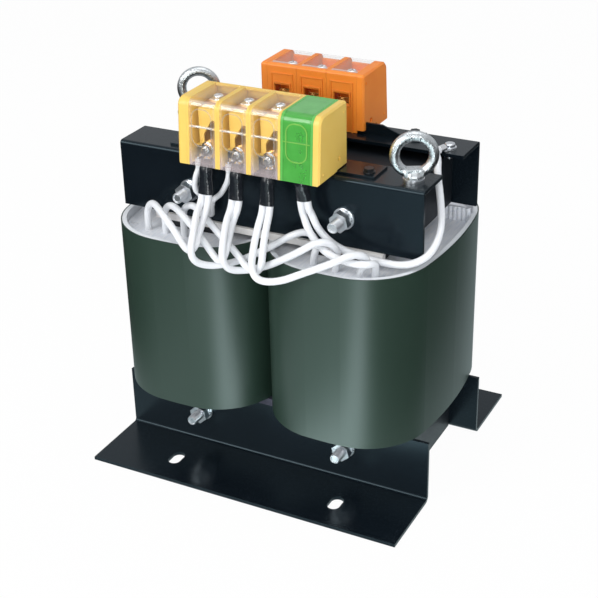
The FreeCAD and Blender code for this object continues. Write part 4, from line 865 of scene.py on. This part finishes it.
lay_lead("left_lead_3", [
    (0.0178, -0.0896, 0.2822), (0.0178, -0.0911, 0.2754), (0.0181, -0.0983, 0.2650),
    (0.0206, -0.1097, 0.2498), (0.0232, -0.1178, 0.2382), (0.0182, -0.1183, 0.2310),
    (0.0078, -0.1147, 0.2313), (-0.0093, -0.1065, 0.2415), (-0.0372, -0.0947, 0.2541),
    (-0.0639, -0.0812, 0.2663), (-0.0808, -0.0749, 0.2572), (-0.0780, -0.0790, 0.2376),
    (-0.0780, -0.0790, 0.2306),
], LEAD)
lay_lead("earth_lead", [
    (0.0507, -0.0830, 0.2905), (0.0514, -0.0830, 0.2835), (0.0531, -0.0805, 0.2779),
    (0.0592, -0.0803, 0.2637), (0.0750, -0.0817, 0.2523), (0.0957, -0.0811, 0.2465),
    (0.1188, -0.0791, 0.2438), (0.1384, -0.0765, 0.2436), (0.1536, -0.0694, 0.2495),
    (0.1594, -0.0586, 0.2594), (0.1588, -0.0457, 0.2727), (0.1514, -0.0316, 0.2895),
    (0.1420, -0.0172, 0.3070), (0.1375, -0.0043, 0.3157), (0.1296, 0.0047, 0.3157),
    (0.1262, 0.0141, 0.3119), (0.1284, 0.0207, 0.3119),
], LEAD)
lay_lead("earth_lead_2", [
    (0.0441, -0.0830, 0.2898), (0.0449, -0.0830, 0.2828), (0.0450, -0.0801, 0.2752),
    (0.0533, -0.0866, 0.2631), (0.0727, -0.0980, 0.2529), (0.0969, -0.1035, 0.2501),
    (0.1149, -0.1016, 0.2503), (0.1184, -0.0919, 0.2494), (0.1160, -0.0870, 0.2376),
    (0.1160, -0.0870, 0.2306),
], LEAD)


# Jumper: a short white lead that joins the first two poles, in two halves that hang from the small side
# barrels of the lugs and meet in a closed end connector. A white boot covers each barrel.
JUMPER_OUT = -82.1
BOOT_SHIFT = 9.9
BOOT_SIDES = 32
BOOT_PROFILE = [(2.65, 311.5), (2.95, 311.5), (2.98, 308.0), (2.9, 304.6), (2.6, 304.2)]
boots = bmesh.new()
for pole in front_poles[:2]:
    rings = []
    for radius, z in BOOT_PROFILE:
        middle = Vector((pole[0] - BOOT_SHIFT, JUMPER_OUT, z))
        rings.append(ring(middle, EAST, NORTH, radius, BOOT_SIDES))
    skin(boots, rings, "open")
new_piece("jumper_boots", boots, silicone, "lead")
dress(["jumper_cap"], silicone)
JUMPER = 0.0050
lay_lead("jumper_left", [
    (-0.05645, -0.0821, 0.3060), (-0.05645, -0.0821, 0.3020), (-0.0594, -0.0846, 0.2938),
    (-0.0614, -0.0835, 0.2793), (-0.0536, -0.0759, 0.2734), (-0.0543, -0.0740, 0.2684),
    (-0.0543, -0.0740, 0.2644),
], JUMPER)
lay_lead("jumper_right", [
    (-0.02595, -0.0821, 0.3060), (-0.02595, -0.0821, 0.3020), (-0.0282, -0.0814, 0.2933),
    (-0.0387, -0.0759, 0.2783), (-0.0452, -0.0745, 0.2731), (-0.0499, -0.0740, 0.2684),
    (-0.0499, -0.0740, 0.2644),
], JUMPER)


# Earth screw: zinc plated steel pan head screw with its washer, tapped into the rear clamp's flange, where
# it holds the lug of the long earth lead.
dress(["earth_screw"], zinc)
